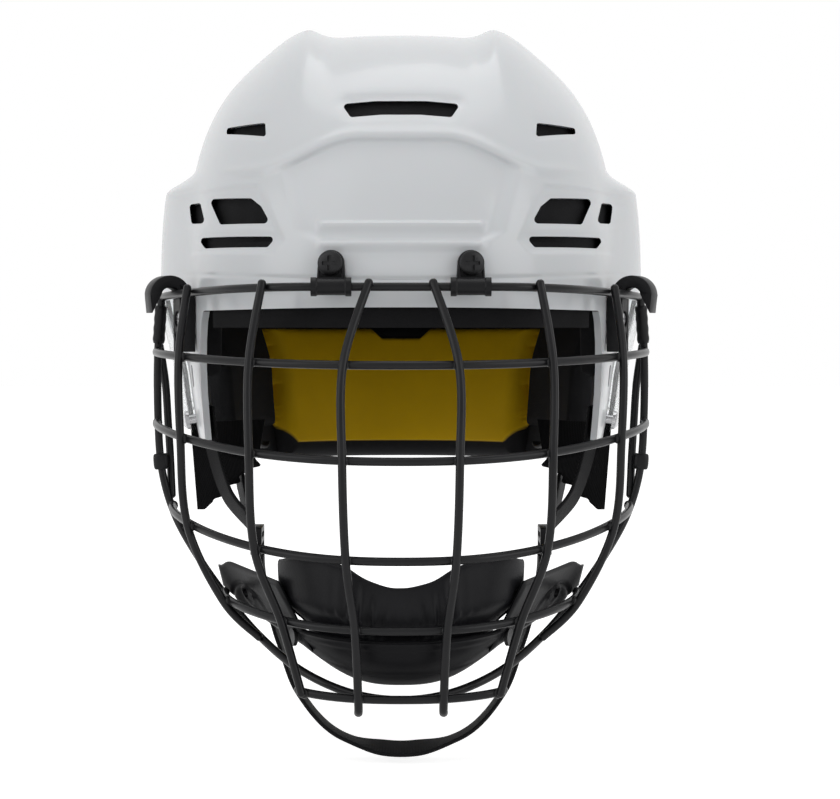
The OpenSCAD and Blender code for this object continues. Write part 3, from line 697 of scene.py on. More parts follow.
    def body(self, insets: tuple, bearing: Array, climbs: tuple, skirt: int,
             relief: Optional[Callable] = None) -> Surface:
        """Closed shell, open below: skirt rows from the rim, then rows up to the crown.

        Args:
            insets: depth of the outer face and of the inner face.
            bearing: bearings of the columns, once round.
            climbs: shares of the crown's height of the outer rows and of the inner rows.
            skirt: rows under the brow's height.
            relief: depth of the front's carving.

        Returns:
            The closed surface.
        """
        cols = len(bearing)
        low = self.rim(bearing)[None, :] * (1 - np.arange(skirt)[:, None] / skirt)
        i = np.arange(cols)
        nxt = (i + 1) % cols
        points, faces, base = [], [], 0
        for inset, shares, flip in zip(insets, climbs, (False, True)):
            z = np.vstack([low, (self.crown_h - inset) * shares[:, None] * np.ones(cols)])
            rows = len(z)
            points += [self.point(bearing[None, :], z, inset, relief).reshape(-1, 3),
                       [[0.0, self.widest_y, self.crown_h - inset]]]
            faces += grid_faces(rows, cols, wrap=True, base=base, flip=flip).tolist()
            last = base + (rows - 1) * cols
            cap = np.stack([last + i, last + nxt, np.full(cols, base + rows * cols)], axis=1)
            faces += (cap[:, ::-1] if flip else cap).tolist()
            start, base = base, base + rows * cols + 1
        faces += np.stack([nxt, i, start + i, start + nxt], axis=1).tolist()
        return Surface(np.vstack(points), faces)


DOME = Dome()


def outline_distance(corners: Array, x: Array, z: Array) -> Array:
    """Distance from a convex outline, negative inside.

    Inside it is the largest of the distances past each edge's line; outside it is the distance
    from the nearest edge.

    Args:
        corners: the outline's corners in order.
        x: places across.
        z: heights.

    Returns:
        Array of distances in millimetres.
    """
    p = np.stack([x, z], axis=-1)
    nearest = np.full(x.shape, np.inf)
    past = np.full(x.shape, -np.inf)
    turn = np.sign(sum(np.cross(corners[k], corners[(k + 1) % len(corners)]) for k in range(len(corners))))
    for k in range(len(corners)):
        a, b = corners[k], corners[(k + 1) % len(corners)]
        edge = b - a
        share = np.clip(((p - a) @ edge) / (edge @ edge), 0, 1)
        nearest = np.minimum(nearest, np.linalg.norm(p - a - share[..., None] * edge, axis=-1))
        past = np.maximum(past, turn * ((p - a) @ np.array([edge[1], -edge[0]])) / np.linalg.norm(edge))
    return np.where(past < 0, past, nearest)


@dataclass(frozen=True)
class Vent:
    """Opening moulded through a shell, as its corners seen from the front, in millimetres."""

    corners: tuple
    corner_r: float = 1.5
    hood: float = 0.0
    reach: tuple = (15.0, 170.0)

    def ring(self) -> Array:
        """The corners, anticlockwise."""
        c = np.asarray(self.corners, float)
        return c if sum(np.cross(c[k - 1], c[k]) for k in range(len(c))) > 0 else c[::-1]

    def drawn_in(self) -> tuple[Array, Array, Array]:
        """Middles of the corners' arcs, and the outward directions of the edges before and after each."""
        c = self.ring()
        edge = unit(np.roll(c, -1, axis=0) - c)
        after = np.stack([edge[:, 1], -edge[:, 0]], axis=1)
        before = np.roll(after, 1, axis=0)
        spread = 1 + np.sum(before * after, axis=1, keepdims=True)
        return c - self.corner_r * (before + after) / spread, before, after

    def outline(self) -> Array:
        """Ring of points round the opening, anticlockwise, its corners rounded by arcs."""
        points = []
        for p, before, after in zip(*self.drawn_in()):
            a0, a1 = math.atan2(before[1], before[0]), math.atan2(after[1], after[0])
            a1 += 2 * math.pi if a1 < a0 - math.pi else 0
            w = np.linspace(a0, a1, 7) if a1 > a0 else np.array([(a0 + a1) / 2])
            points.append(p + self.corner_r * np.stack([np.cos(w), np.sin(w)], axis=1))
        return np.vstack(points)

    def cutter(self, towards: float) -> Surface:
        """Prism of the outline, run along Y from near the middle to the front (-1) or the back (1).

        Args:
            towards: -1 for the front, 1 for the back.

        Returns:
            The closed prism.
        """
        ring = self.outline()
        n = len(ring)
        rows = [np.insert(ring, 1, towards * y, axis=1) for y in self.reach]
        faces = [[(i + 1) % n, i, n + i, n + (i + 1) % n] for i in range(n)]
        faces += [list(range(n)), [n + i for i in range(n)][::-1]]
        if towards < 0:
            faces = [f[::-1] for f in faces]
        return Surface(np.vstack(rows), faces)

    def flipped(self) -> "Vent":
        """The same vent on the other side."""
        return Vent(tuple((-x, z) for x, z in self.corners), self.corner_r, self.hood)

    def lip(self, x: Array, z: Array) -> Array:
        """Depth of the rolled lip: a smooth fall towards the edge, deeper over the top where it is hooded.

        Args:
            x: places across.
            z: heights.

        Returns:
            Array of depths.
        """
        c = self.drawn_in()[0]
        far = outline_distance(c, x, z) - self.corner_r
        above = ease(c[:, 1].mean(), c[:, 1].max() + 1.0, z)
        return 0.7 * ease(2.6, 0.0, far) + self.hood * above * ease(5.5, 1.0, far)


def both_sides(vents: Sequence[Vent]) -> list[Vent]:
    """The vents of the right side, then the same of the left."""
    return [*vents, *(vent.flipped() for vent in vents)]


# Finishes.


def new_group(name: str, inputs: dict, outputs: dict) -> bpy.types.NodeTree:
    """Empty node group with named sockets.

    Args:
        name: name of the group.
        inputs: socket type and default value for each input.
        outputs: socket type for each output.

    Returns:
        The node tree with its input and output nodes.
    """
    tree = bpy.data.node_groups.new(name, "ShaderNodeTree")
    for label, (kind, default) in inputs.items():
        made = tree.interface.new_socket(label, in_out="INPUT", socket_type=kind)
        if default is not None:
            made.default_value = default
    for label, kind in outputs.items():
        tree.interface.new_socket(label, in_out="OUTPUT", socket_type=kind)
    tree.nodes.new("NodeGroupInput")
    tree.nodes.new("NodeGroupOutput")
    return tree


def node(tree: bpy.types.NodeTree, kind: str, values: Optional[dict] = None,
         **links: bpy.types.NodeSocket) -> bpy.types.Node:
    """Adds a node, sets its values and links its inputs.

    Args:
        tree: tree to add to.
        kind: the node's type, without the leading words.
        values: properties, or inputs by name or number, to set.
        links: sockets to link to the inputs of the same names.

    Returns:
        The new node.
    """
    made = tree.nodes.new("ShaderNode" + kind)
    for label, value in (values or {}).items():
        if label in made.inputs:
            made.inputs[label].default_value = value
        else:
            setattr(made, label, value)
    link_inputs(tree, made, links)
    return made


def math_node(tree: bpy.types.NodeTree, operation: str, *terms) -> bpy.types.NodeSocket:
    """Output of a Math node over sockets or plain numbers.

    Args:
        tree: tree to add to.
        operation: name of the operation.
        terms: sockets or numbers, in order.

    Returns:
        The node's output.
    """
    made = tree.nodes.new("ShaderNodeMath")
    made.operation = operation
    for k, term in enumerate(terms):
        if isinstance(term, bpy.types.NodeSocket):
            tree.links.new(term, made.inputs[k])
        else:
            made.inputs[k].default_value = term
    return made.outputs[0]


def grain_group() -> bpy.types.NodeTree:
    """Moulded grain: fine noise for the bump, broad noise for cloudy shine and tint.

    Returns:
        Group that puts out a Normal, a Roughness and a Tint between 0 and 1.
    """
    tree = new_group(
        "moulded_grain",
        {
            "Vector": ("NodeSocketVector", None),
            "Grain Scale": ("NodeSocketFloat", 900.0),
            "Grain Depth": ("NodeSocketFloat", 0.1),
            "Cloud Scale": ("NodeSocketFloat", 25.0),
            "Roughness": ("NodeSocketFloat", 0.3),
            "Cloud Amount": ("NodeSocketFloat", 0.05),
        },
        {"Normal": "NodeSocketVector", "Roughness": "NodeSocketFloat", "Tint": "NodeSocketFloat"},
    )
    given, out = tree.nodes["Group Input"].outputs, tree.nodes["Group Output"]
    fine = node(tree, "TexNoise", {"Detail": 3.0}, Vector=given["Vector"], Scale=given["Grain Scale"])
    broad = node(tree, "TexNoise", {"Detail": 4.0}, Vector=given["Vector"], Scale=given["Cloud Scale"])
    bump = node(tree, "Bump", {"Distance": 0.0004}, Height=fine.outputs["Fac"], Strength=given["Grain Depth"])
    swing = math_node(tree, "SUBTRACT", broad.outputs["Fac"], 0.5)
    rough = math_node(tree, "MULTIPLY_ADD", swing, given["Cloud Amount"], given["Roughness"])
    tint = broad.outputs["Fac"]
    link_inputs(tree, out, {"Normal": bump.outputs["Normal"], "Roughness": rough, "Tint": tint})
    return tree


def weave_group() -> bpy.types.NodeTree:
    """Woven webbing: crossing sine waves of warp and weft over the piece's own place, in millimetres.

    Returns:
        Group that puts out a Normal and a Thread mask between 0 and 1.
    """
    tree = new_group(
        "woven_webbing",
        {
            "Vector": ("NodeSocketVector", None),
            "Thread": ("NodeSocketFloat", 0.9),
            "Depth": ("NodeSocketFloat", 0.5),
        },
        {"Normal": "NodeSocketVector", "Thread": "NodeSocketFloat"},
    )
    given, out = tree.nodes["Group Input"].outputs, tree.nodes["Group Output"]
    apart = node(tree, "SeparateXYZ", Vector=given["Vector"])
    turn = math_node(tree, "DIVIDE", 2 * math.pi, given["Thread"])
    across = math_node(tree, "SINE", math_node(tree, "MULTIPLY", apart.outputs["X"], turn))
    half = math_node(tree, "MULTIPLY", turn, 0.5)
    along = math_node(tree, "SINE", math_node(tree, "MULTIPLY", apart.outputs["Y"], half))
    woven = math_node(tree, "MULTIPLY", across, along)
    height = math_node(tree, "MULTIPLY_ADD", woven, 0.35, 0.5)
    bump = node(tree, "Bump", {"Distance": 0.0003}, Height=height, Strength=given["Depth"])
    link_inputs(tree, out, {"Normal": bump.outputs["Normal"], "Thread": height})
    return tree


GRAIN = grain_group()
WEAVE = weave_group()


def coordinates(tree: bpy.types.NodeTree, space: Space) -> bpy.types.NodeSocket:
    """The coordinates that a pattern follows."""
    return node(tree, "TexCoord").outputs[space.value]


def placed_group(tree: bpy.types.NodeTree, group: bpy.types.NodeTree, values: dict,
                 vector: bpy.types.NodeSocket) -> bpy.types.Node:
    """Places a shared group in a material.

    Args:
        tree: the material's tree.
        group: the shared group.
        values: the material's own value for each input.
        vector: coordinates that the group's pattern follows.

    Returns:
        The group's node.
    """
    made = tree.nodes.new("ShaderNodeGroup")
    made.node_tree = group
    set_inputs(made, values)
    link_inputs(tree, made, {"Vector": vector})
    return made


def shine(grain: bpy.types.Node) -> dict:
    """The grain group's roughness and normal, by the shader's names for them."""
    return {label: grain.outputs[label] for label in ("Roughness", "Normal")}


@dataclass(frozen=True)
class Finish:
    """Moulded, painted or plated finish with its grain and cloudy shine."""

    name: str
    colour: tuple
    worn: tuple
    roughness: float = 0.3
    cloud: float = 0.06
    grain_scale: float = 900.0
    grain_depth: float = 0.1
    cloud_scale: float = 25.0
    metallic: float = 0.0
    coat: float = 0.0
    coat_roughness: float = 0.05
    ior: float = 1.5
    specular: float = 0.5
    scattering: float = 0.0

    def shader(self, mat: bpy.types.Material) -> bpy.types.Node:
        """The material's Principled shader with its plain numbers set on its own sockets.

        Args:
            mat: the new material.

        Returns:
            The shader's node.
        """
        shader = mat.node_tree.nodes["Principled BSDF"]
        plain = {
            "Metallic": self.metallic,
            "IOR": self.ior,
            "Specular IOR Level": self.specular,
            "Coat Weight": self.coat,
            "Coat Roughness": self.coat_roughness,
        }
        if self.scattering:
            plain |= {"Subsurface Weight": self.scattering, "Subsurface Scale": 0.002}
        set_inputs(shader, plain)
        return shader

    def start(self) -> tuple[bpy.types.Material, bpy.types.NodeTree, bpy.types.Node]:
        """New material, its tree and its shader."""
        mat = bpy.data.materials.new(self.name)
        mat.use_nodes = True
        return mat, mat.node_tree, self.shader(mat)

    def grain(self, tree: bpy.types.NodeTree, vector: bpy.types.NodeSocket) -> bpy.types.Node:
        """The grain group placed in a material with this finish's values.

        Args:
            tree: the material's tree.
            vector: coordinates that the grain follows.

        Returns:
            The group's node.
        """
        values = {
            "Grain Scale": self.grain_scale,
            "Grain Depth": self.grain_depth,
            "Cloud Scale": self.cloud_scale,
            "Roughness": self.roughness,
            "Cloud Amount": self.cloud,
        }
        return placed_group(tree, GRAIN, values, vector)

    def tone(self, tree: bpy.types.NodeTree, share: bpy.types.NodeSocket, start: float,
             end: float) -> bpy.types.NodeSocket:
        """Colour that drifts from the clean to the worn tone as the share runs from start to end.

        Args:
            tree: the material's tree.
            share: value that picks the tone.
            start: share of the clean tone.
            end: share of the worn tone.

        Returns:
            The colour.
        """
        made = node(tree, "ValToRGB", Fac=share)
        for element, place, colour in zip(made.color_ramp.elements, (start, end), (self.colour, self.worn)):
            element.position = place
            element.color = (*colour, 1.0)
        return made.outputs["Color"]

    def material(self) -> bpy.types.Material:
        """Material that reads Object coordinates; its colour drifts from the clean to the worn tone."""
        mat, tree, shader = self.start()
        grain = self.grain(tree, coordinates(tree, Space.OBJECT))
        colour = self.tone(tree, grain.outputs["Tint"], 0.3, 0.75)
        link_inputs(tree, shader, {"Base Color": colour, **shine(grain)})
        return mat


@dataclass(frozen=True)
class Webbing(Finish):
    """Woven webbing finish that follows the piece's own place."""

    thread: float = 1.1
    depth: float = 0.7

    def material(self) -> bpy.types.Material:
        """Material whose weave follows the band; its tone follows the threads."""
        mat, tree, shader = self.start()
        values = {"Thread": self.thread, "Depth": self.depth}
        weave = placed_group(tree, WEAVE, values, coordinates(tree, Space.PLACE))
        grain = self.grain(tree, coordinates(tree, Space.OBJECT))
        colour = self.tone(tree, weave.outputs["Thread"], 0.0, 1.0)
        link_inputs(tree, shader, {"Base Color": colour, **shine(grain), "Normal": weave.outputs["Normal"]})
        return mat


@dataclass(frozen=True)
class LinedPlastic(Finish):
    """Finish with a dark lining over part of the piece."""

    lining: tuple = (0.012, 0.012, 0.013)
    dullness: float = 0.85

    def material(self) -> bpy.types.Material:
        """The plain finish, with the lining's colour and dullness where the piece's lining mask is 1."""
        mat = super().material()
        tree = mat.node_tree
        shader = tree.nodes["Principled BSDF"]
        mask = node(tree, "Attribute", {"attribute_name": "lining"}).outputs["Fac"]
        lined = node(tree, "Mix", {"data_type": "RGBA"})
        lined.inputs[7].default_value = (*self.lining, 1.0)
        tree.links.new(mask, lined.inputs[0])
        tree.links.new(shader.inputs["Base Color"].links[0].from_socket, lined.inputs[6])
        rough = shader.inputs["Roughness"].links[0].from_socket
        dull = math_node(tree, "MAXIMUM", rough, math_node(tree, "MULTIPLY", mask, self.dullness))
        bare = math_node(tree, "MULTIPLY_ADD", mask, -self.coat, self.coat)
        link_inputs(tree, shader, {"Base Color": lined.outputs[2], "Roughness": dull, "Coat Weight": bare})
        return mat


@dataclass(frozen=True)
class ClearPlastic(Finish):
    """Clear moulded sheet that light goes through, with faint streaks in its shine."""

    streaks: tuple = (1.0, 4.0, 0.6)

    def material(self) -> bpy.types.Material:
        """Material with plain transmission; the streaks only change its roughness and its normal."""
        mat, tree, shader = self.start()
        set_inputs(shader, {"Transmission Weight": 1.0, "Base Color": (*self.colour, 1.0)})
        stretched = node(tree, "Mapping", {"Scale": self.streaks}, Vector=coordinates(tree, Space.OBJECT))
        link_inputs(tree, shader, shine(self.grain(tree, stretched.outputs["Vector"])))
        return mat


@dataclass(frozen=True)
class Finishes:
    """All the finishes of the helmet."""

    shell: Finish = LinedPlastic(
        "gloss_white_shell", (0.71, 0.73, 0.75), (0.68, 0.70, 0.72), roughness=0.24, cloud=0.05,
        grain_scale=420.0, grain_depth=0.02, cloud_scale=9.0, coat=0.15, coat_roughness=0.06,
        scattering=0.05, specular=0.28)
    foam: Finish = Finish(
        "charcoal_foam", (0.008, 0.008, 0.0085), (0.014, 0.014, 0.015), roughness=0.85, cloud=0.1,
        grain_scale=1500.0, grain_depth=0.55, cloud_scale=60.0, specular=0.1)
    mustard: Finish = LinedPlastic(
        "mustard_pad_skin", (0.80, 0.49, 0.004), (0.71, 0.43, 0.003), roughness=0.5, cloud=0.12,
        grain_scale=1800.0, grain_depth=0.16, cloud_scale=22.0, specular=0.16)
    pad: Finish = Finish(
        "black_pad_skin", (0.006, 0.006, 0.007), (0.012, 0.012, 0.014), roughness=0.42, cloud=0.12,
        grain_scale=1300.0, grain_depth=0.2, cloud_scale=40.0, specular=0.13)
    cup: Finish = Finish(
        "black_cup_plastic", (0.005, 0.005, 0.006), (0.008, 0.008, 0.009), roughness=0.38, cloud=0.1,
        grain_scale=800.0, grain_depth=0.1, cloud_scale=30.0, specular=0.08)
    wire: Finish = Finish(
        "black_wire_paint", (0.006, 0.006, 0.007), (0.011, 0.011, 0.012), roughness=0.32, cloud=0.14,
        grain_scale=700.0, grain_depth=0.12, cloud_scale=60.0, specular=0.16, coat=0.06,
        coat_roughness=0.15)
    fitting: Finish = Finish(
        "black_moulded_fitting", (0.006, 0.006, 0.007), (0.011, 0.011, 0.012), roughness=0.4, cloud=0.1,
        grain_scale=1400.0, grain_depth=0.22, cloud_scale=70.0, specular=0.14)
    vinyl: Finish = Finish(
        "black_vinyl_sleeve", (0.006, 0.006, 0.007), (0.012, 0.012, 0.013), roughness=0.35, cloud=0.1,
        grain_scale=600.0, grain_depth=0.08, cloud_scale=90.0, specular=0.16)
    black_screw: Finish = Finish(
        "blackened_screw", (0.012, 0.012, 0.013), (0.025, 0.025, 0.026), roughness=0.34, cloud=0.12,
        grain_scale=1500.0, grain_depth=0.1, cloud_scale=120.0, metallic=0.6, specular=0.3)
    steel: Finish = Finish(
        "plated_screw", (0.5, 0.5, 0.51), (0.36, 0.36, 0.37), roughness=0.28, cloud=0.15,
        grain_scale=1500.0, grain_depth=0.06, cloud_scale=120.0, metallic=1.0)
    clear: Finish = ClearPlastic(
        "clear_guard_plastic", (0.95, 0.965, 0.97), (0.9, 0.92, 0.93), roughness=0.2, cloud=0.1,
        grain_scale=90.0, grain_depth=0.06, cloud_scale=14.0, ior=1.15)
    webbing: Finish = Webbing(
        "black_webbing", (0.004, 0.004, 0.0045), (0.014, 0.014, 0.015), roughness=0.7, cloud=0.1,
        grain_scale=900.0, grain_depth=0.2, cloud_scale=50.0, specular=0.1)


class Paintbox:
    """Makes each finish's material once and hands it out by name."""

    def __init__(self, finishes: Finishes) -> None:
        """Keeps the finishes; nothing is made until it is asked for."""
        self.finishes = finishes
        self.made: dict[str, bpy.types.Material] = {}

    def __getitem__(self, name: str) -> bpy.types.Material:
        """The material of a finish."""
        if name not in self.made:
            self.made[name] = getattr(self.finishes, name).material()
        return self.made[name]


# Shells.


@dataclass
class Shells:
    """Front and rear shell: twin ridges, side belts, brow arch, ribs and moulded vents."""

    paint: Paintbox
    skirt_rows: int = 14
    seam_y: float = 19.0
    seam_sweep: float = 5.7
    arch_top: float = 68.7
    arch_side: float = 54.8
    arch_reach: tuple = (17.0, 60.0)
    field_depth: float = 2.8
    rib_heights: tuple = (34.1, 26.5)
    rib_half: float = 34.5
    rib_out: float = 1.5
    brow_line: float = 11.0
    pocket_r: float = 5.3
    pocket_deep: float = 2.9
    far: float = 300.0
    lined_from: float = -0.35
    panel: tuple = ((93.0, 49.0), (58.0, 50.0), (47.0, 27.0), (52.0, 22.0), (90.0, 23.0))
    slot: Vent = Vent(((-24.4, 83.0), (-10.0, 84.2), (10.0, 84.2), (24.4, 83.0), (20.4, 77.0), (8.0, 78.0),
                       (-8.0, 78.0), (-20.4, 77.0)), 1.5, 1.6)
    vents: tuple = (
        Vent(((73.2, 75.7), (55.8, 76.1), (55.2, 70.0), (73.2, 72.9)), 1.0, 0.5),
        Vent(((91.2, 44.9), (85.0, 44.7), (82.0, 35.5), (89.6, 36.2)), 1.5, 0.4),
        Vent(((80.3, 45.6), (61.0, 44.6), (56.6, 41.0), (52.6, 33.9), (74.6, 34.4)), 1.6, 0.4),
        Vent(((85.9, 29.6), (49.9, 28.6), (53.8, 24.3), (81.8, 24.9)), 1.4, 0.4),
    )
    rear_vents: tuple = (
        Vent(((59.5, 95.2), (23.0, 100.0), (21.1, 91.5), (57.6, 85.4)), 1.5),
        Vent(((74.9, 63.4), (28.8, 73.2), (26.9, 64.7), (73.0, 53.7)), 1.5),
        Vent(((80.6, 31.7), (34.6, 40.3), (32.6, 32.9), (78.7, 23.2)), 1.5),
        Vent(((69.1, -12.2), (44.2, -4.9), (44.2, -12.2), (67.2, -20.7)), 1.5),
    )

    def relief(self, x: Array, z: Array) -> Array:
        """Depth of the front's carving at a place of its outer face.

        The arch is a smooth step down along a line that falls from the middle to the belts; under it
        the field fades out towards the belts and the brow. Two ribs stand out with a sharp upper edge
        and a long fall below. A fine line runs along the brow, and a shallow panel holds the side vents.

        Args:
            x: places across.
            z: heights.

        Returns:
            Array of depths, negative where it stands out.
        """
        side = np.abs(x)
        line = self.arch_side + (self.arch_top - self.arch_side) * (1 - ease(*self.arch_reach, side))
        edge = 38.0 + 0.23 * (z - 31.7) - 7.0 * ease(31.0, 25.0, z)
        inside = 1 - ease(edge - 3.0, edge + 6.0, side)
        arch = ease(line + 0.3, line - 2.7, z) * (0.25 + 0.75 * inside) * (1 - ease(60.0, 72.0, side))
        deep = self.field_depth * arch * (0.45 + 0.55 * ease(14.0, 30.0, z)) * ease(9.0, 20.0, z)
        brink = -0.9 * bell(z - line, 1.9, 1.9) * (1 - ease(66.0, 80.0, side))
        ribs = 0.0
        for height in self.rib_heights:
            profile = ease(height + 0.9, height - 0.5, z) * (1 - ease(height - 0.9, height - 5.0, z))
            ribs = ribs - self.rib_out * profile * (1 - ease(self.rib_half - 3.0, self.rib_half, side))
        crease = 0.55 * bell(z, self.brow_line + 4.0 * (side / 95.0) ** 2, 0.8)
        shoulder = 0.5 * ease(self.brow_line + 2.0, self.brow_line - 1.0, z)
        panel = 1.2 * ease(0.8, -1.4, outline_distance(np.asarray(self.panel), side, z))
        lips = self.slot.lip(x, z)
        for vent in self.vents:
            lips = lips + vent.lip(side, z)
        return deep + brink + ribs + crease + shoulder + panel + lips

    def behind_seam(self) -> Surface:
        """Block behind the seam, which sweeps back from the belt to the crown."""
        far = self.far
        swept_y = self.seam_y + self.seam_sweep
        side = [(self.seam_y, -far), (self.seam_y, DOME.belt_z), (swept_y, DOME.crown_h * 0.75),
                (swept_y, far), (far, far), (far, -far)]
        n = len(side)
        points = np.array([[s * far, y, z] for s in (-1, 1) for y, z in side])
        faces = [list(range(n)), list(range(n, 2 * n))[::-1]]
        faces += [[n + i, n + (i + 1) % n, (i + 1) % n, i] for i in range(n)]
        return Surface(points, faces)

    def ahead_block(self) -> Surface:
        """Block ahead of the rear shell's front edge."""
        ends = (-self.far, self.far)
        points = np.array([[x, y, z] for x in ends for y in (-self.far, -self.seam_y) for z in ends])
        faces = [[0, 1, 3, 2], [4, 6, 7, 5], [0, 4, 5, 1], [2, 3, 7, 6], [0, 2, 6, 4], [1, 5, 7, 3]]
        return Surface(points, faces)

    def flange_slot(self, side: float) -> Surface:
        """Cutter for the upright slot in the flange, a rounded bar that runs across the wall.

        Args:
            side: -1 left, 1 right.

        Returns:
            The closed cutter.
        """
        at = DOME.point(69.0, -29.0, 0.0)
        ring = rounded_box(4.6, 9.5, 2.2, 4)
        out = unit(np.array([at[0], (at[1] - DOME.widest_y) * 0.45, 0.0]))
        path = at + np.array([[-12.0], [12.0]]) * out
        return swept(path, ring, UP).on(side)

    def screw_pocket(self, side: float) -> Surface:
        """Cutter for the round pocket that a size screw's head sinks into, from the screws' own box.

        Args:
            side: -1 left, 1 right.

        Returns:
            The closed cutter.
        """
        low, high = (np.array(corner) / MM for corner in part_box("size_screws"))
        middle = (low + high) / 2
        path = np.stack([middle, middle])
        path[:, 0] = high[0] - self.pocket_deep, high[0] + 12.0
        return swept(path, circle(self.pocket_r, 40), UP).on(side)

    def lined(self, obj: bpy.types.Object) -> None:
        """Marks the faces that look towards the head's middle, and the lower edge, as lined.

        A face is lined where its normal points against the line from the middle of the head to it.

        Args:
            obj: a carved shell.
        """
        mesh = obj.data
        count = len(mesh.polygons)
        normals, middles = np.empty(count * 3), np.empty(count * 3)
        mesh.polygons.foreach_get("normal", normals)
        mesh.polygons.foreach_get("center", middles)
        normals, middles = normals.reshape(-1, 3), middles.reshape(-1, 3) / MM
        away = middles * [1.0, 1.0, 0.4] - [0.0, DOME.widest_y, 0.0]
        facing = np.sum(unit(away) * normals, axis=1)
        edge = (normals[:, 2] < -0.7) & (middles[:, 2] < 5.0)
        masked(obj, "FACE", (facing < self.lined_from) | edge)

    def build(self) -> None:
        """Makes both shells and stands them for the solids."""
        gloss = self.paint["shell"]
        ahead = np.degrees(np.arcsin(np.linspace(0, 0.94, 97) ** (DOME.plan_front / 2)))
        beside, behind = np.linspace(ahead[-1], 104.0, 34)[1:], np.linspace(104.0, 180.0, 12)[1:]
        right = np.concatenate([ahead, beside, behind])
        bearing = np.concatenate([-right[::-1], right[1:-1]])
        climb = np.concatenate([np.linspace(0, 0.62, 127)[:-1], DOME.climb(39, 0.62)])
        body = DOME.body((0.0, DOME.wall), bearing, (climb, DOME.climb(60)), self.skirt_rows, self.relief)
        cuts = [shape.cutter(-1) for shape in (self.slot, *both_sides(self.vents))]
        slots = [cut(s) for s in SIDES.values() for cut in (self.flange_slot, self.screw_pocket)]
        front = carved("shell_front", body, [[self.behind_seam()], cuts + slots], 38.0)
        insets = (DOME.rear_inset, DOME.rear_inset + DOME.wall)
        body = DOME.body(insets, np.arange(300) * 1.2 - 180, (DOME.climb(84), DOME.climb(84)), 18)
        cuts = [vent.cutter(1) for vent in both_sides(self.rear_vents)]
        rear = carved("shell_rear", body, [[self.ahead_block()], cuts], 38.0)
        u, v = np.meshgrid(np.linspace(-88, 88, 121), np.linspace(19, 92, 51))
        grow = DOME.wall + 0.05
        backing = slab(DOME.point(u, v, grow, self.relief), DOME.point(u, v, grow + 0.35, self.relief))
        dress(as_object("vent_backing", backing), Body.HELMET, self.paint["foam"])
        self.lined(front)
        self.lined(rear)
        dress(front, Body.HELMET, gloss, ["front_shell"])
        dress(rear, Body.REAR, gloss, ["rear_shell"])


# Liner.


@dataclass(frozen=True)
class PadShape:
    """A foam pad: its span of bearings, its edges, and how it is crowned and grooved."""

    name: str
    stands_for: str
    body: Body
    bearings: tuple
    low: float
    high: float
    inset: float
    thick: float
    cols: int
    rows: int
    grooves: int = 0
    side: float = 0.0
    bulge: float = 0.0


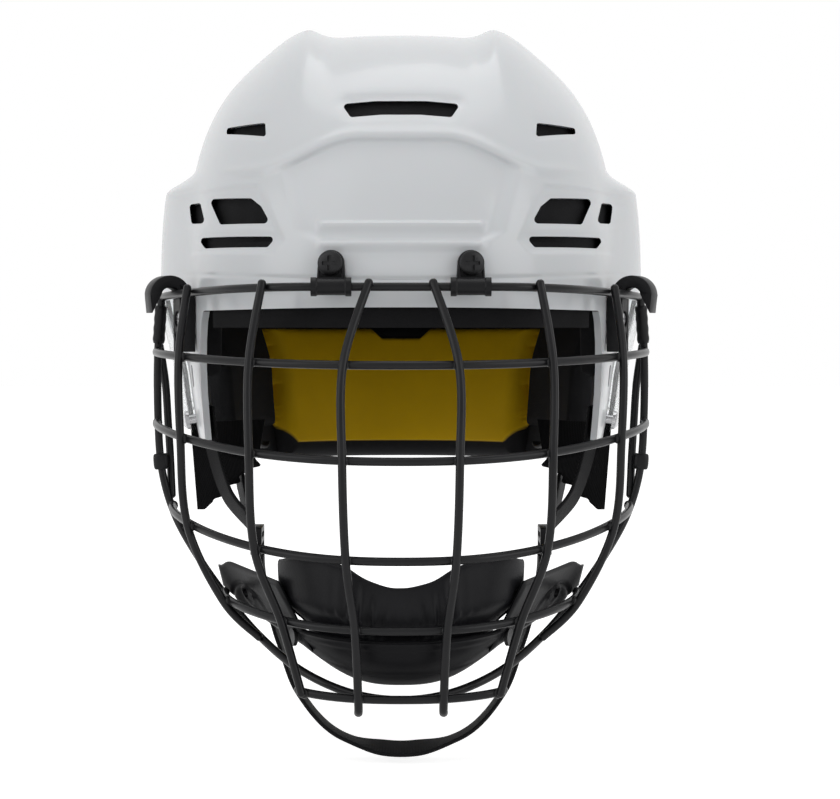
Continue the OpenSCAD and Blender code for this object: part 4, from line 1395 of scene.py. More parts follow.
@dataclass
class Liner:
    """Foam pads of both shells, crowned inwards with rounded edges and sewn or moulded channels."""

    paint: Paintbox
    foam_t: float = 13.0
    bulge: float = 6.4
    fill: float = 0.9
    pad_t: float = 17.0
    gap: float = 0.5
    panel_out: float = 1.8
    pad_high: float = -6.0
    panel_top: float = -8.6
    panel_half: float = 60.0
    panel_knee: tuple = (-46.5, 59.0)
    panel_foot: tuple = (-64.4, 48.5)
    notch: tuple = (4.8, 13.9, 4.7)
    nape_reach: float = 46.0

    def shapes(self) -> list[PadShape]:
        """The pads, with their places taken from the shell's form."""
        front = DOME.wall + self.gap
        rear = DOME.rear_inset + DOME.wall + self.gap
        crown, thin = DOME.crown_h, self.foam_t * 0.8
        brow, back = (-54, 54), (126, 234)
        pads = [
            PadShape("pad_forehead", "forehead_liner", Body.HELMET, brow, -8.1, crown * 0.22, front,
                     self.foam_t, 160, 36, 3),
            PadShape("pad_crown_front", "crown_liner_front", Body.HELMET, brow, crown * 0.66, crown * 0.93,
                     front + 0.3, thin, 120, 36, 3),
            PadShape("pad_crown_rear", "crown_liner_rear", Body.REAR, back, crown * 0.66, crown * 0.95,
                     rear, thin, 120, 36, 3),
            PadShape("pad_occiput", "rear_liner", Body.REAR, (138, 222), 0.0, crown * 0.36, rear,
                     self.foam_t, 120, 36, 3),
        ]
        for label, side in SIDES.items():
            pads.append(PadShape(f"pad_temple_{label}", f"temple_liner_{label}", Body.HELMET, (60, 78),
                                 -DOME.flange_drop * 0.5, crown * 0.36, front + 0.3, thin, 48, 72, 0, side))
            pads.append(PadShape(f"pad_side_{label}", f"side_liner_{label}", Body.REAR, (98, 132),
                                 -DOME.nape_drop * 0.8, crown * 0.3, rear, thin, 96, 84, 0, side, self.bulge))
        return pads

    def surface(self, pad: PadShape) -> Surface:
        """Closed pad: its depth is 0.55 to 1 of its thickness by the root of a product of sines.

        The last few millimetres round the edge roll off as a quarter circle, and the channels are
        cosines raised to a high power.

        Args:
            pad: the pad's sizes.

        Returns:
            The closed pad, on its own side.
        """
        u, v = unit_grid(pad.cols, pad.rows)
        crowned = 0.55 + 0.45 * np.sqrt(np.clip(np.sin(np.pi * u) * np.sin(np.pi * v), 0, 1))
        roll = quarter(from_edge(u, v, pad.cols, pad.rows) / (pad.cols * 0.045))
        depth = pad.thick * crowned * (0.28 + 0.72 * roll)
        if pad.grooves:
            depth = depth * (1 - 0.4 * np.abs(np.cos(np.pi * u * pad.grooves)) ** 40)
        z = mix(pad.low, pad.high, v)
        bearing = mix(pad.bearings[0], pad.bearings[1], u)
        out = pad.bulge * ease(-9.0, -15.0, z) * ease(107.0, 100.0, bearing) * roll
        outer, inner = self.at(bearing, z, pad.inset - out), self.at(bearing, z, pad.inset + depth)
        return slab(outer, inner).on(pad.side)

    def at(self, bearing: Array, z: Array, inset: Array) -> Array:
        """Points at a depth under the shell; above the brow they sink in proportion to their height."""
        return DOME.point(bearing, z * (1 - inset * np.maximum(0, z) / DOME.crown_h**2), inset)

    def nape(self) -> tuple[Surface, Array]:
        """Nape pad and its mask, 0 on the raised coloured panel and 1 round it.

        The panel's edges lie on grid lines: its half width runs straight between three heights, and its
        top has a slanted notch. Bearings come from widths as arcsin((x / width)^(n / 2)).

        Returns:
            The closed pad and the value of its lining mask at each point.
        """
        inset = DOME.rear_inset + DOME.wall + self.gap
        low, top, high = -DOME.nape_drop * 1.03, self.panel_top, self.pad_high
        share = np.concatenate([np.linspace(0, 1, 15), np.linspace(1, 2, 61)[1:], np.linspace(2, 3, 10)[1:]])
        right = np.concatenate([np.linspace(0, 1, 76)[1:], np.linspace(1, 2, 24)[1:]])
        across = np.concatenate([-right[::-1], [0.0], right])
        heights = [self.panel_foot[0], self.panel_knee[0], top]
        widths = [self.panel_foot[1], self.panel_knee[1], self.panel_half]

        def rolled(rim: Array) -> Array:
            """Share of the depth at a distance from the pad's edge, a quarter circle 6 mm wide."""
            return 0.28 + 0.72 * quarter(rim / 6.0)

        def bearing_at(x: Array, z: Array) -> Array:
            """Bearing, off the middle of the back, of a width on the pad's face."""
            deep = 0.62 + 0.27 * np.sqrt(np.sin(np.pi * np.clip((z - low) / (high - low), 0, 1)))
            deep = deep * rolled(np.minimum(z - low, high - z))
            wide = (DOME.half_w - inset - deep * self.pad_t) * (1 - DOME.sink(z))
            return np.degrees(np.arcsin(np.clip(x / wide, 0, 0.999) ** (DOME.plan_rear / 2)))

        side = np.abs(across)[None, :]
        near = np.minimum(side, 1.0) * self.panel_half
        notched = top - self.notch[0] * np.clip((self.notch[1] - near) / self.notch[2], 0, 1)
        s = share[:, None]
        upper = np.where(s < 2, mix(heights[0], notched, s - 1), mix(notched, high, s - 2))
        z = np.where(s < 1, mix(low, heights[0], s), upper)
        half = np.interp(z, heights, widths)
        beyond = mix(bearing_at(half, z), self.nape_reach, np.clip(side - 1, 0, 1))
        turn = np.where(side <= 1, bearing_at(side * half, z), beyond)
        bearing = 180 + np.sign(across)[None, :] * turn
        roll = rolled(np.minimum((self.nape_reach - turn) * 1.3, np.minimum(z - low, high - z)))
        tall = np.sin(np.pi * (z - low) / (high - low))
        crowned = 0.62 + 0.38 * np.sqrt(np.clip(np.cos(np.pi / 2 * turn / self.nape_reach) * tall, 0, 1))
        off = ((s <= 1) | (s >= 2) | (side >= 1)).astype(float)
        depth = self.pad_t * crowned * roll - self.panel_out * off
        made = slab(self.at(bearing, z, np.full_like(z, inset)), self.at(bearing, z, inset + depth))
        return made, np.concatenate([np.ones(z.size), off.ravel()])

    def build(self) -> None:
        for pad in self.shapes():
            obj = as_object(pad.name, self.surface(pad), 60.0)
            dress(obj, pad.body, self.paint["foam"], [pad.stands_for])
        made, off = self.nape()
        obj = as_object("pad_nape", made, 60.0)
        masked(obj, "POINT", off)
        dress(obj, Body.REAR, self.paint["mustard"], ["rear_pad"])


# Cage.


@dataclass(frozen=True)
class CageForm:
    """Lines of the face cage, the same as the solids', in millimetres."""

    wire_d: float = 3.4
    half_w: float = 105.0
    height: float = 161.0
    bar_y: float = 147.0
    bar_z: float = 8.0
    bulge: float = 23.0
    rail_y: float = 50.0
    straight_l: float = 78.0
    bars: tuple = ((0.19, 0.165, 1, 1), (0.42, 0.354, 1, 1), (0.66, 0.575, 0.933, 1.08),
                   (0.83, 0.785, 0.7, 1.78), (1, 0.985, 0.385, 3))
    side: tuple = ((0.505, 0.943), (0.667, 0.775), (0.81, 0.515), (0.924, 0.227), (0.971, 0.062))
    rim: tuple = ((0.981, 1.08, 0.025), (1, 1, 0.17), (1, 1, 0.34), (0.985, 1, 0.48), (0.933, 1.06, 0.595),
                  (0.84, 1.32, 0.69), (0.705, 1.76, 0.79), (0.55, 2.24, 0.882), (0.38, 2.7, 0.95),
                  (0.19, 2.96, 0.994))
    second: tuple = ((0.995, 0.934, 0.15), (0.975, 0.87, 0.25), (0.965, 0.85, 0.36), (0.955, 0.89, 0.45),
                     (0.945, 0.97, 0.55))
    uprights: tuple = ((0.12, 0.207, 0.209, 0.196, 0.163, 0.155), (0.505, 0.553, 0.55, 0.53, 0.43, 0.355),
                       (0.81, 0.835, 0.825, 0.8, 0.66))
    weld_turn: float = 1.2

    @property
    def weld(self) -> float:
        """Distance between the middles of two wires that are welded together."""
        return self.wire_d * 0.92

    def level(self, share: Array) -> Array:
        """Height at a share of the cage's height."""
        return self.bar_z - np.asarray(share, float) * self.height

    def front(self, share: Array) -> Array:
        """Distance of the cage's middle ahead: the top bar's plus the bulge times sin(145 share^0.7)."""
        return self.bar_y + self.bulge * np.sin(np.radians(145.0 * np.asarray(share, float) ** 0.7))

    def bar_at(self, k: int, t: Array) -> Array:
        """Point of a cross bar at an angle in degrees, a half ellipse that climbs towards its ends.

        Args:
            k: number of the bar, 0 at the eyes.
            t: angles, 0 in the middle.

        Returns:
            Array of points.
        """
        mid, end, wide, deep = self.bars[k]
        rad = np.radians(np.asarray(t, float))
        rise = np.abs(np.sin(rad)) ** 2.5
        return np.stack([wide * self.half_w * np.sin(rad),
                         -mix(self.rail_y * deep, self.front(mid), np.cos(rad)),
                         self.level(mix(mid, end, rise))], axis=-1)

    def cross_bar(self, k: int) -> Array:
        """Whole path of a cross bar."""
        reach = 90 - self.weld_turn
        return self.bar_at(k, np.linspace(-reach, reach, 97))

    def side_knots(self) -> Array:
        """Knots of the top bar on the right, from its straight middle to the temple."""
        sink = self.wire_d * 0.9
        knots = [[self.straight_l / 2, -self.bar_y, self.bar_z]]
        for a, b in self.side:
            knots.append([a * self.half_w, -mix(self.rail_y, self.bar_y, b), self.bar_z - sink * (1 - b)])
        return np.array(knots)

    def top_bar(self) -> Array:
        """Whole path of the top bar."""
        right = smooth_path(self.side_knots(), 12)
        return np.vstack([mirrored(right)[::-1], right])

    def placed(self, shares: Sequence[tuple]) -> Array:
        """Points at shares of the cage's half width, of the rails' distance ahead and of its height."""
        return np.array([[a * self.half_w, -b * self.rail_y, self.level(c)] for a, b, c in shares])

    def rim_knots(self) -> Array:
        """Knots of the rim wire on the right, from the temple down."""
        return self.placed(self.rim)

    def rim_wire(self) -> Array:
        """Whole path of the rim wire, round under the chin."""
        right = self.rim_knots()
        low = self.placed([(0.0, 3.04, 1.008)])
        return smooth_path(np.vstack([mirrored(right), low, right[::-1]]), 10)

    def second_wire(self) -> Array:
        """Path of the second wire behind the right side rail."""
        return smooth_path(self.placed(self.second), 10)

    def on_bar(self, k: int, share: float) -> Array:
        """Place of an upright on a cross bar, set outwards by the weld.

        Args:
            k: number of the cross bar.
            share: place as a share of the cage's half width.

        Returns:
            The point.
        """
        mid, _, wide, deep = self.bars[k]
        t = math.asin(min(1.0, share / wide))
        a, d = wide * self.half_w, float(self.front(mid)) - self.rail_y * deep
        outwards = unit(np.array([math.sin(t) / a, -math.cos(t) / d, 0.0]))
        return self.bar_at(k, math.degrees(t)) + self.weld * outwards

    def upright(self, k: int) -> Array:
        """Path of an upright on the right: 0 inner, 1 middle, 2 outer.

        Args:
            k: number of the upright.

        Returns:
            Array of points.
        """
        shares, r = self.uprights[k], self.wire_d / 2
        knots = self.side_knots()
        if k == 0:
            top = np.array([shares[0] * self.half_w, -self.bar_y - self.weld, self.bar_z])
        else:
            i = 1 if k == 1 else 3
            t = unit(knots[i + 1] - knots[i - 1])
            top = knots[i] + self.weld * unit(np.array([t[1], -t[0], 0.0]))
        path = [top + [0, 0, r]] + [self.on_bar(j, s) for j, s in enumerate(shares[1:])]
        if k == 0:
            path.append(self.on_bar(4, shares[5]) + [0, self.wire_d, -self.wire_d * 1.6])
        if k == 2:
            path.append(self.rim_knots()[7] + [0, -self.wire_d, 0])
        return smooth_path(path, 12)


CAGE = CageForm()


@dataclass
class CageWork:
    """Wires, welds and vinyl sleeves of the face cage."""

    paint: Paintbox
    sides: int = 18
    sleeve_wall: float = 0.9
    sleeve_span: tuple = (0.12, 0.8)

    def blob(self, place: Array, out: Array) -> Surface:
        """Weld bead: a squashed ball whose height is the root of 1 minus the square of its radius share.

        Args:
            place: middle of the bead.
            out: direction of its height.

        Returns:
            The closed bead.
        """
        w = np.linspace(-np.pi / 2, np.pi / 2, 7)
        r = CAGE.wire_d / 2
        profile = np.stack([np.maximum(np.cos(w), 0.02) * r * 1.32, np.sin(w) * r * 0.9], axis=1)
        return spun(profile, 12, place, out)

    def welds(self) -> Surface:
        """Beads at the crossings of the uprights and the cross bars."""
        beads = []
        for k, shares in enumerate(CAGE.uprights):
            for j, share in enumerate(shares[1:]):
                outer = CAGE.on_bar(j, share)
                inner = CAGE.bar_at(j, math.degrees(math.asin(min(1.0, share / CAGE.bars[j][2]))))
                beads.append(self.blob((outer + inner) / 2, outer - inner))
        for j, (_, _, wide, _) in enumerate(CAGE.bars[:4]):
            end = CAGE.bar_at(j, 90 - CAGE.weld_turn)
            beads.append(self.blob(end, np.array([0.3, -1.0, 0.2])))
        return beads[0].joined(*beads[1:]).both_sides()

    def sleeve(self) -> Surface:
        """Soft sleeve round the rim wire's top, its ends drawn in over the last millimetre."""
        a, b = CAGE.rim_knots()[:2]
        run = np.linspace(0, 1, 25)
        path = mix(a, b, mix(*self.sleeve_span, run)[:, None])
        bulge = 1 + 0.035 * np.sin(run * 23.0) - 0.072 * (ease(0.08, 0.0, run) + ease(0.92, 1.0, run))
        return swept(path, circle(CAGE.wire_d / 2 + self.sleeve_wall, 20), BACK, bulge)

    def build(self) -> None:
        """Makes each wire as its own piece; those that come in pairs are one piece for both sides."""
        single = {
            "wire_top": (CAGE.top_bar(), UP, "cage_top_bar"),
            "wire_rim": (CAGE.rim_wire(), BACK, "cage_rim_wire"),
        }
        for k, name in enumerate(("eye", "nose", "mouth", "chin", "bottom")):
            single[f"wire_{name}"] = (CAGE.cross_bar(k), UP, f"cage_{name}_bar")
        paired = {f"wires_{name}": (CAGE.upright(k), RIGHT, f"cage_{name}_uprights")
                  for k, name in enumerate(("inner", "middle", "outer"))}
        paired["wires_second"] = (CAGE.second_wire(), BACK, "cage_side_wires")
        for name, (path, ref, stands) in (single | paired).items():
            made = rod(path, CAGE.wire_d / 2, ref, self.sides)
            made = made.both_sides() if name in paired else made
            dress(as_object(name, made), Body.CAGE, self.paint["wire"], [stands])
        dress(as_object("wire_welds", self.welds(), 60.0), Body.CAGE, self.paint["wire"])
        for label, side in SIDES.items():
            sleeve = as_object(f"sleeve_{label}", self.sleeve().on(side))
            dress(sleeve, Body.CAGE, self.paint["vinyl"], [f"cage_sleeve_{label}"])


# Chin cup.


@dataclass
class ChinCup:
    """Moulded cup behind the chin bars, its side wings and its soft pad."""

    paint: Paintbox
    width: float = 92.0
    wall: float = 2.5
    pad_t: float = 8.0
    gap: float = 0.5
    round_deg: float = 78.0
    rise: float = 17.5
    rim_sag: float = 3.0
    flare: float = 0.2
    wing_low: tuple = ((41.5, -129.5, -133.0), (70.0, -84.0, -121.0))
    wing_high: tuple = ((53.5, -125.0, -108.0), (75.0, -77.0, -105.0))
    wing_face: tuple = (0.85, -0.53, 0.0)
    wing_hole: float = 0.6
    hole_high: float = 0.42
    wing_root: float = 0.27

    @property
    def low(self) -> float:
        """Height of the cup's lowest edge."""
        return float(CAGE.level(0.975))

    @property
    def high(self) -> float:
        """Height of the cup's rim at its sides."""
        return float(CAGE.level(0.838))

    def point(self, u: Array, v: Array, inset: Array, sag: float = 0.0) -> Array:
        """Points of the cup: a half ellipse that narrows to 0.68 at its foot by sin(90 v)^0.8.

        Args:
            u: share from left to right.
            v: share from the lower edge to the rim.
            inset: depth inside the outer face.
            sag: fall of the rim in the middle.
        """
        front = float(CAGE.front(CAGE.bars[3][0])) - CAGE.wire_d / 2 - 0.3
        back = front * 0.725
        t = np.radians(mix(-self.round_deg, self.round_deg, u))
        k = 0.68 + 0.32 * np.sin(np.pi / 2 * np.clip(v, 0, 1)) ** 0.8
        side = np.abs(np.sin(t)) ** 3
        x = (self.width / 2 * k - inset) * np.sin(t)
        y = -back - ((front - back) * k - inset) * np.cos(t)
        z = mix(self.low + (self.high - self.low) * 0.4 * side, self.high - sag * np.cos(t) ** 2 * v, v)
        return np.stack([x, y, z], axis=-1)

    def cup(self) -> Surface:
        """Hard cup with a rolled rim and a shallow band pressed in across its front."""
        u, v = unit_grid(121, 41)
        roll = 1 - quarter(from_edge(u, v, 120, 30) / 3)
        bead = -0.6 * bell(v, 0.93, 0.035) * ease(0.02, 0.1, np.minimum(u, 1 - u))
        band = 0.5 * ease(0.22, 0.3, v) * ease(0.8, 0.72, v) * ease(0.1, 0.16, np.minimum(u, 1 - u))
        outer = self.point(u, v, bead + band + 0.9 * roll, self.rim_sag)
        inner = self.point(u, v, self.wall - 0.9 * roll, self.rim_sag)
        return slab(outer, inner)

    def wing_at(self, run: Array, w: Array) -> Array:
        """Place on a wing at shares of its length and of its height."""
        low, high = np.array(self.wing_low), np.array(self.wing_high)
        return mix(mix(low[0], low[1], run), mix(high[0], high[1], run), w)

    def wing(self) -> Surface:
        """Wing along the jaw to a rounded end, with a pressed curve and a raised ring round its hole."""
        u, v = unit_grid(61, 31)
        w = mix(0.5, v, 1 - 0.45 * ease(0.72, 1, u) ** 1.6)
        base = self.wing_at((-self.wing_root + (1 + self.wing_root + 0.09) * u)[..., None], w[..., None])
        across = self.wall * np.array(self.wing_face)
        roll = np.clip(1 - from_edge(u, v, 60, 30) / 2.5, 0, 1) ** 2
        hole = np.hypot((u - self.wing_hole) * 48, (w - self.hole_high) * 18)
        rim = 0.25 * bell(hole, 3.2, 0.7)
        curve = -0.3 * bell(np.hypot((u - 0.62) * 48, (w + 0.1) * 18), 12.5, 0.8) * ease(0.35, 0.45, u)
        thick = (1 - 0.35 * roll + rim + curve)[..., None]
        return slab(base + thick * across, base + 0.35 * roll[..., None] * across)

    def wing_bore(self) -> Surface:
        """Cutter for the hole in a wing."""
        middle = self.wing_at(self.wing_hole, self.hole_high)
        path = middle + np.array(self.wing_face) * np.array([[-8.0], [12.0]])
        return swept(path, circle(1.9, 24), UP)

    def pad(self) -> Surface:
        """Soft pad: its upper edge dips in the middle, its face has gathered creases and two side slots."""
        u, v = unit_grid(181, 71)
        inset = self.wall + self.gap
        side = np.abs(2 * u - 1)
        fold = 0.5 * np.sin(u * 61.0) + 0.5 * np.sin(u * 37.0 + 1.3)
        lift = v**2 * self.rise * (1 + 0.6 * ease(0.02, 0.5, side) - 0.12 * ease(0.7, 1.0, side))
        lift = lift + 0.45 * fold * ease(0.8, 1.0, v) * bell(side, 0.3, 0.22)
        gathers = np.sin((u + 0.05 * (v - 0.5) * np.sign(u - 0.5)) * 2 * np.pi * 26)
        window = bell(side, 0.22, 0.16) * bell(v, 0.72, 0.16)
        crease = 0.95 * gathers * window + 0.9 * bell(v, 0.6, 0.05) * ease(0.75, 0.55, side)
        slot = 2.4 * ease(0.035, 0.02, np.abs(side - 0.86)) * ease(0.12, 0.09, np.abs(v - 0.68))
        roll = quarter(from_edge(u, v, 180, 70) / 9)
        body = 0.4 + 0.6 * np.sqrt(np.sin(np.pi * mix(0.05, 0.95, u)) * np.sin(np.pi * mix(0.05, 0.95, v)))
        thick = self.pad_t * body * (0.3 + 0.7 * roll)
        spread = (1 + self.flare * ease(0.5, 0.75, v))[..., None] * RIGHT + np.array([0.0, 1.0, 1.0])
        up = lift[..., None] * UP
        outer = self.point(u, v, inset + crease + slot + 1.2 * (1 - roll)) * spread + up
        inner = self.point(u, v, inset + thick) * spread + up
        return slab(outer, inner)

    def build(self) -> None:
        """Makes the cup with its wings, and the pad."""
        wings = [self.wing(), self.wing().mirrored()]
        bores = [self.wing_bore(), self.wing_bore().mirrored()]
        cup = carved("chin_cup_shell", self.cup().joined(*wings), [bores], 40.0)
        dress(cup, Body.CAGE, self.paint["cup"], ["chin_cup"])
        pad = as_object("chin_cup_cushion", self.pad(), 60.0)
        dress(pad, Body.CAGE, self.paint["pad"], ["chin_cup_pad"])


# Harness.


@dataclass
class Harness:
    """Webbing: the Y of straps on each side and the loop under the chin."""

    paint: Paintbox
    strap_w: float = 15.0
    strap_t: float = 1.6
    lean: float = 0.42
    guard_bearing: float = 75.0
    guard_z: float = -47.88
    front_knots: tuple = ((82.0, -38.0, -62.0), (75.0, -50.0, -80.0), (65.0, -62.0, -91.0))
    tab_corners: tuple = ((93.0, -27.0, -50.0), (62.0, 8.0, -50.0), (64.0, -14.0, -68.5),
                          (90.0, -27.0, -88.5))
    tab_flat: tuple = (0.036, 0.047)
    tab_area: float = 0.00123
    rear_start: tuple = (121.3, -64.2, 8.38)
    rear_knots: tuple = ((74.0, 45.0, -66.5), (73.0, 5.0, -74.0), (69.0, -28.0, -84.0),
                         (65.0, -56.0, -92.0))
    chin_knots: tuple = ((59.0, -72.0, -104.5), (58.5, -72.5, -112.0), (56.0, -79.0, -124.0),
                         (50.0, -90.0, -141.0), (41.0, -106.0, -159.0), (25.0, -114.0, -174.0),
                         (0.0, -116.0, -179.6))
    meeting: tuple = ((65.0, -50.0, -91.0), (72.0, 65.0, -65.0))

    def band(self, path: Array, lean: Array) -> Surface:
        """Flat band with rounded edges along a path.

        Args:
            path: points of the band's middle line.
            lean: turn of the band off its edge at each point, in radians.

        Returns:
            The closed band, with its place measured over its width and length.
        """
        section = rounded_box(self.strap_w, self.strap_t, self.strap_t * 0.4, 3)
        return swept(path, section, BACK, twist=np.pi / 2 + lean)

    def tab(self) -> Surface:
        """Fabric tab behind the front strap, its free edge ragged by two sines."""
        u, v = unit_grid(31, 61)
        upper, top, inner, lower = np.array(self.tab_corners)
        near = lower + [-3.0, 0.0, 0.0]
        knots = np.stack([near, mix(near, inner, 0.42), inner, top])
        right = np.stack([np.interp(v, [0.0, 0.35, 0.7, 1.0], knots[:, k]) for k in range(3)], axis=-1)
        ragged = 0.05 * np.sin(v * 31.0) + 0.035 * np.sin(v * 57.0 + 0.8)
        across = u * (1 + ragged * ease(0.5, 1.0, u) * ease(0.85, 0.7, v))
        points = mix(mix(lower, upper, v[..., None]), right, across[..., None])
        points[..., 1] += 2.5 * np.sin(u * 3.0) * v
        return slab(points + np.array([0.0, 1.3, 0.0]), points)

    def build(self) -> None:
        """Makes each strap as its own piece; a rear one is on no body, its place baked into its mesh."""
        webbing = self.paint["webbing"]
        anchor = DOME.point(self.guard_bearing, self.guard_z, 0.0)
        anchor = anchor + np.array([-DOME.wall - 0.3 - self.strap_t, 0.0, self.strap_w * 0.4])
        front = even_path(smooth_path([anchor, *self.front_knots], 12), 1.6)
        rear = even_path(smooth_path([DOME.point(*self.rear_start), *self.rear_knots], 12), 1.6)
        for label, side in SIDES.items():
            for name, path in (("front", front), ("rear", rear)):
                band = self.band(path, np.full(len(path), self.lean)).on(side)
                strap = as_object(f"strap_{name}_{label}", band, 50.0)
                if path is front:
                    dress(strap, Body.HELMET, webbing, [f"harness_front_{label}"])
                else:
                    strap.data.materials.append(webbing)
                    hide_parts(f"harness_rear_{label}")
                    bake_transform(strap)
            tab = as_object(f"strap_tab_{label}", self.tab().on(side), 50.0)
            dress(tab, Body.HELMET, webbing)
        right = np.array(self.chin_knots)
        whole = smooth_path(np.vstack([right, mirrored(right)[::-1][1:]]), 14)
        path = even_path(whole, 1.4)
        lean = -0.22 * (1 - ease(0.05, 0.19, np.abs(np.linspace(-1, 1, len(path)))))
        loop = as_object("strap_chin", self.band(path, lean), 50.0)
        dress(loop, Body.HELMET, webbing, ["chin_strap"])


# Fittings.


@dataclass
class Guards:
    """Clear guard over each ear, bulged away from it."""

    paint: Paintbox
    thick: float = 2.0
    bulge: float = 8.0
    bearings: tuple = (78.0, 114.0)

    def surface(self) -> Surface:
        """Closed clear sheet: the shell's own side, moved outwards by smooth steps from its edges."""
        u, v = unit_grid(91, 61)
        low = -DOME.flange_drop * (0.95 - 0.35 * u**3)
        z = mix(low, DOME.nape_drop * 0.1 * 0.55, v)
        swollen = self.bulge * ease(0.1, 0.45, u) * ease(0.0, 0.15, 1 - u) * (1 - v**4)
        bead = 0.5 * bell(from_edge(u, v, 90, 60), 2.0, 1.4)
        bearing = mix(self.bearings[0], self.bearings[1], u)
        outer = DOME.point(bearing, z, -0.6 - self.thick - swollen - bead)
        inner = DOME.point(bearing, z, -0.6 - swollen)
        return slab(outer, inner)

    def build(self) -> None:
        """Makes both guards."""
        for label, side in SIDES.items():
            guard = as_object(f"guard_{label}", self.surface().on(side), 60.0)
            dress(guard, Body.HELMET, self.paint["clear"], [f"ear_guard_{label}"])


@dataclass
class Fittings:
    """Loop clips, hooks, sliders, tabs and screws."""

    paint: Paintbox
    clip_w: float = 16.0
    clip_wall: float = 2.0
    clip_gap: float = 55.0
    screw_z: float = 17.5
    tab_r: float = 5.28
    hook_bar: tuple = (97.02, -72.0, 5.63)
    hook_turn: float = 0.367
    hook_mid: float = 4.47
    softened: tuple = (("temple_hook_left", 0.45), ("temple_hook_right", 0.45), ("harness_sliders", 0.4),
                       ("clip_nuts", 0.2))
    finishes: tuple = (
        ("black_screw", ("clip_screws", "chin_cup_snaps")),
        ("steel", ("hook_screws", "guard_screws", "size_screws")),
    )

    def clip(self) -> Surface:
        """Loop clip: a flanged barrel round the bar, a web, and a round-topped tab with a raised rim."""
        half, bar = self.clip_gap / 2, CAGE.wire_d / 2 + 0.05
        r, end = bar + self.clip_wall, self.clip_w / 2
        waist = [(r, -end), (r, 2.1 - end), (r - 0.45, 2.7 - end), (r - 0.45, end - 2.7), (r, end - 2.1)]
        ends = [(r, end), (r - 0.5, end), (bar, end), (bar, -end), (r - 0.5, -end), (r, -end)]
        on_bar = np.array([half, -CAGE.bar_y, CAGE.bar_z])
        barrel = spun(np.array(waist + ends), 40, on_bar, RIGHT)

        def face_y(x: float) -> float:
            """How far ahead the shell's face lies at the height of the screws."""
            width = DOME.half_w * DOME.cap(np.array(self.screw_z), 0.0, DOME.arch)
            length = DOME.front_l * DOME.cap(np.array(self.screw_z), 0.0, DOME.nose)
            n = DOME.plan_front
            return float((1 - (x / width) ** n) ** (1 / n) * length - DOME.widest_y)

        turn = math.atan2(face_y(half - self.tab_r) - face_y(half + self.tab_r), 2 * self.tab_r)
        foot = np.array([half, -face_y(half) - 0.3, self.screw_z])
        right = np.array([math.cos(turn), math.sin(turn), 0.0])
        arc = np.radians(np.linspace(0, 180, 25))
        top = self.tab_r * np.stack([np.cos(arc), np.sin(arc)], axis=1)
        drop = CAGE.bar_z - self.screw_z
        outline = np.vstack([[[self.tab_r * 1.12, drop]], top, [[-self.tab_r * 1.12, drop]]])
        tab = plate(outline, self.clip_wall, 0.4, foot, right, UP)
        line = (outline * 0.86)[:, :1] * right + (outline * 0.86)[:, 1:] * UP
        out = np.cross(right, UP)
        rim = swept(foot + line + out * (self.clip_wall - 0.05), circle(0.42, 8), out)
        run = np.stack([on_bar, on_bar]) + [0.0, 0.0, r / 2]
        run[1, 1] = foot[1] - self.clip_wall / 2
        web = swept(run, rounded_box(2 * self.tab_r, r, 0.6, 3), UP)
        return barrel.joined(tab, rim, web)

    def open_hook(self, mesh: bpy.types.Mesh, side: float) -> None:
        """Widens a temple hook's loop outwards and draws its tip out to a point.

        In the hook's own plane, with the bar at the origin, a point at radius r and turn w goes to
        the ellipse (1.8 + 6.3 cos w, 5.7 sin w), moved out by 1.1 times its distance from the loop's middle.

        Args:
            mesh: the hook's own mesh.
            side: -1 left, 1 right.
        """
        co = np.empty(len(mesh.vertices) * 3)
        mesh.vertices.foreach_get("co", co)
        co = co.reshape(-1, 3) / MM * [side, 1, 1]
        away = np.array([math.cos(self.hook_turn), -math.sin(self.hook_turn), 0.0])
        off = co - np.array(self.hook_bar)
        u, z = off @ away, off[:, 2]
        r, w = np.hypot(u, z), np.arctan2(z, u)
        ring = np.where(z > -0.01, 1.8 + 6.3 * np.cos(w) + 1.1 * (r - self.hook_mid) * np.cos(w),
                        8.1 + 1.1 * (u - self.hook_mid) + 0.12 * z)
        tall = np.where(z > -0.01, 5.7 * np.sin(w) + 1.15 * (r - self.hook_mid) * np.sin(w), 1.2 * z)
        loop = ((z > -0.01) & (r < 7.2)) | (u > 1.0)
        co = co + np.where(loop, ring - u, 0.0)[:, None] * away
        co[:, 2] += np.where(loop, tall - z, 0.0)
        mesh.vertices.foreach_set("co", (co * [side, 1, 1] * MM).ravel())

    def soften(self, name: str, width: float) -> None:
        """Copies a solid, opens it where it is a hook, and rounds its sharp edges to a width.

        Args:
            name: CAD node.
            width: width of the rounding, in millimetres.
        """
        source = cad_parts[name]
        mesh = source.data.copy()
        mesh.transform(source.matrix_world)
        if name.startswith("temple_hook"):
            self.open_hook(mesh, SIDES[name.split("_")[-1]])
        obj = in_scene(f"{name}_rounded", mesh)
        weld = obj.modifiers.new("weld", "WELD")
        weld.merge_threshold = 0.00002
        bevel = obj.modifiers.new("bevel", "BEVEL")
        bevel.width, bevel.segments, bevel.angle_limit = width * MM, 2, math.radians(40)
        applied(obj, 50.0)
        dress(obj, Body.HELMET, self.paint["fitting"], [name])

    def snap_tab(self) -> Surface:
        """Folded tab round the rim wire: a soft sleeve, flattened, with its ends drawn in."""
        knots = CAGE.rim_knots()
        path = mix(knots[2], knots[3], np.linspace(0.7, 1.0, 19)[:, None])
        run = np.linspace(-1, 1, 19)
        ring = rounded_box(CAGE.wire_d * 2.0, CAGE.wire_d * 1.7, CAGE.wire_d * 0.7, 5)
        return swept(path, ring, BACK, 0.8 + 0.2 * np.sqrt(1 - np.abs(run) ** 3))

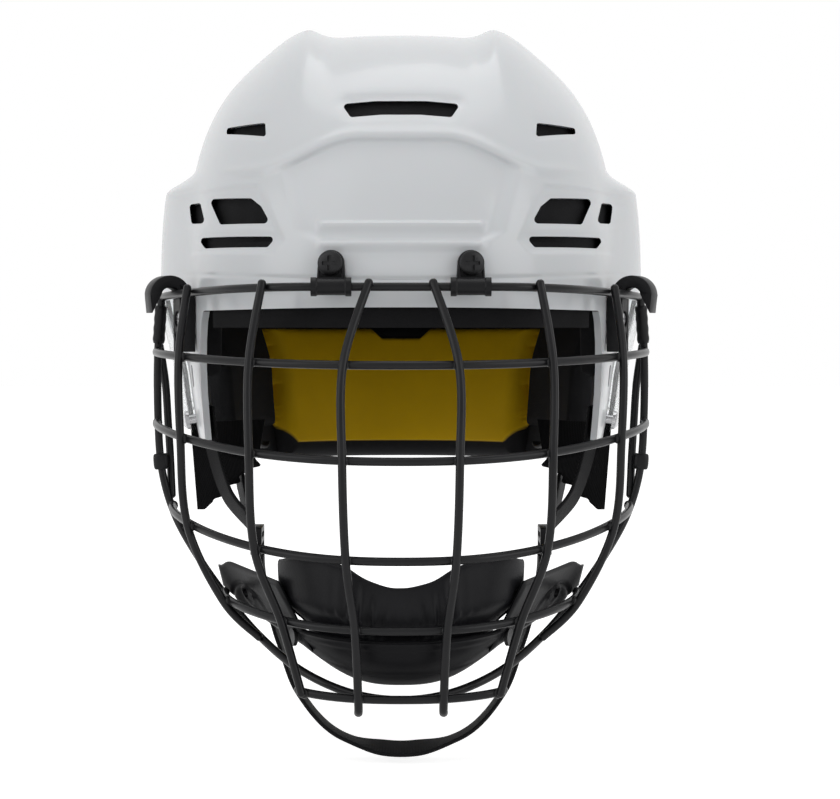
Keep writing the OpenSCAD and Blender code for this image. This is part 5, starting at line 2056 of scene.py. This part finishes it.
    def build(self) -> None:
        """Makes the clips and tabs, rounds the moulded fittings and finishes the screws."""
        for label, side in SIDES.items():
            clip = as_object(f"clip_{label}", self.clip().on(side), 32.0)
            dress(clip, Body.HELMET, self.paint["fitting"], [f"cage_clip_{label}"])
        tabs = as_object("tabs_snap", self.snap_tab().both_sides(), 40.0)
        dress(tabs, Body.CAGE, self.paint["vinyl"], ["snap_tabs"])
        for name, width in self.softened:
            self.soften(name, width)
        for finish, names in self.finishes:
            for name in names:
                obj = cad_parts[name]
                obj.data.materials.clear()
                obj.data.materials.append(self.paint[finish])
                log.info("%s: kept, in %s", name, finish)


# Studio.


@dataclass
class Studio:
    """Camera at the photograph's place, pale floor and soft lamps, in metres."""

    camera_y: float = -1.130
    camera_z: float = -0.007
    focal_px: float = 2500.0
    picture_w: float = 840.0
    horizon_px: float = 74.5
    middle_px: float = 19.0
    sensor: float = 36.0
    light: float = 0.38
    floor_gap: float = 0.004
    floor_half: float = 6.0
    lamp_table: tuple = (
        ("key", (-1.0, -1.4, 1.1), 1.1, 3.5),
        ("fill", (1.4, -0.95, 0.5), 1.0, 6.8),
        ("side", (-1.5, -0.85, 0.4), 1.0, 5.7),
        ("top", (0.1, 0.1, 1.7), 1.4, 9.8),
    )

    def camera(self) -> None:
        """Camera level with the brow, tilted a little down."""
        data = bpy.data.cameras.new("camera")
        data.sensor_width = self.sensor
        data.lens = self.focal_px / self.picture_w * self.sensor
        data.shift_x = self.middle_px / self.picture_w
        obj = in_scene("camera", data)
        obj.location = (0.0, self.camera_y, self.camera_z)
        tilt = math.atan(self.horizon_px / self.focal_px)
        obj.rotation_euler = (math.pi / 2 - tilt, 0.0, 0.0)
        bpy.context.scene.camera = obj

    def seen(self, tree: bpy.types.NodeTree) -> bpy.types.NodeSocket:
        """1 on camera, glossy and transmission rays, 0 on the rest."""
        path = node(tree, "LightPath").outputs
        both = math_node(tree, "MAXIMUM", path["Is Camera Ray"], path["Is Glossy Ray"])
        return math_node(tree, "MAXIMUM", both, path["Is Transmission Ray"])

    def world(self) -> None:
        """White world: plain strength where it is seen, less where it lights."""
        world = bpy.data.worlds.new("studio")
        world.use_nodes = True
        bpy.context.scene.world = world
        tree = world.node_tree
        back = tree.nodes["Background"]
        back.inputs["Color"].default_value = (1.0, 1.0, 1.0, 1.0)
        strength = math_node(tree, "MULTIPLY_ADD", self.seen(tree), 1.0 - self.light, self.light)
        tree.links.new(strength, back.inputs["Strength"])

    def floor(self) -> None:
        """Pale floor under the lowest strap, lifted to white where the camera sees it unshaded."""
        low, half = CAD_BOX[0][2] - self.floor_gap, self.floor_half
        mesh = bpy.data.meshes.new("floor")
        corners = [(x * half, y * half, low) for x, y in ((-1, -1), (1, -1), (1, 1), (-1, 1))]
        mesh.from_pydata(corners, [], [(0, 1, 2, 3)])
        obj = in_scene("floor", mesh)
        mat = bpy.data.materials.new("pale_floor")
        mat.use_nodes = True
        tree = mat.node_tree
        shader = tree.nodes["Principled BSDF"]
        pale, white = (0.75, 0.75, 0.75, 1.0), (1.0, 1.0, 1.0, 1.0)
        set_inputs(shader, {"Base Color": pale, "Roughness": 0.9, "Emission Color": white})
        lift = math_node(tree, "MULTIPLY", self.seen(tree), 0.8)
        tree.links.new(lift, shader.inputs["Emission Strength"])
        mesh.materials.append(mat)

    def lamps(self) -> None:
        """Four soft lamps: key from the upper left, one on each side, and one overhead."""
        for name, place, size, watts in self.lamp_table:
            data = bpy.data.lights.new(name, "AREA")
            data.size, data.energy = size, watts
            obj = in_scene(name, data)
            obj.location = place
            obj.rotation_euler = (-Vector(place)).to_track_quat("-Z", "Y").to_euler()

    def build(self) -> None:
        """Sets up the whole studio."""
        bpy.context.scene.view_settings.view_transform = "Standard"
        self.camera()
        self.world()
        self.floor()
        self.lamps()


def main() -> None:
    """Builds the studio and every sub-assembly in order."""
    logging.basicConfig(level=logging.INFO, format="%(message)s")
    Studio().build()
    paint = Paintbox(Finishes())
    for assembly in (Shells, Liner, CageWork, ChinCup, Harness, Guards, Fittings):
        log.info("building %s", assembly.__name__)
        assembly(paint).build()


if __name__ == "__main__":
    main()
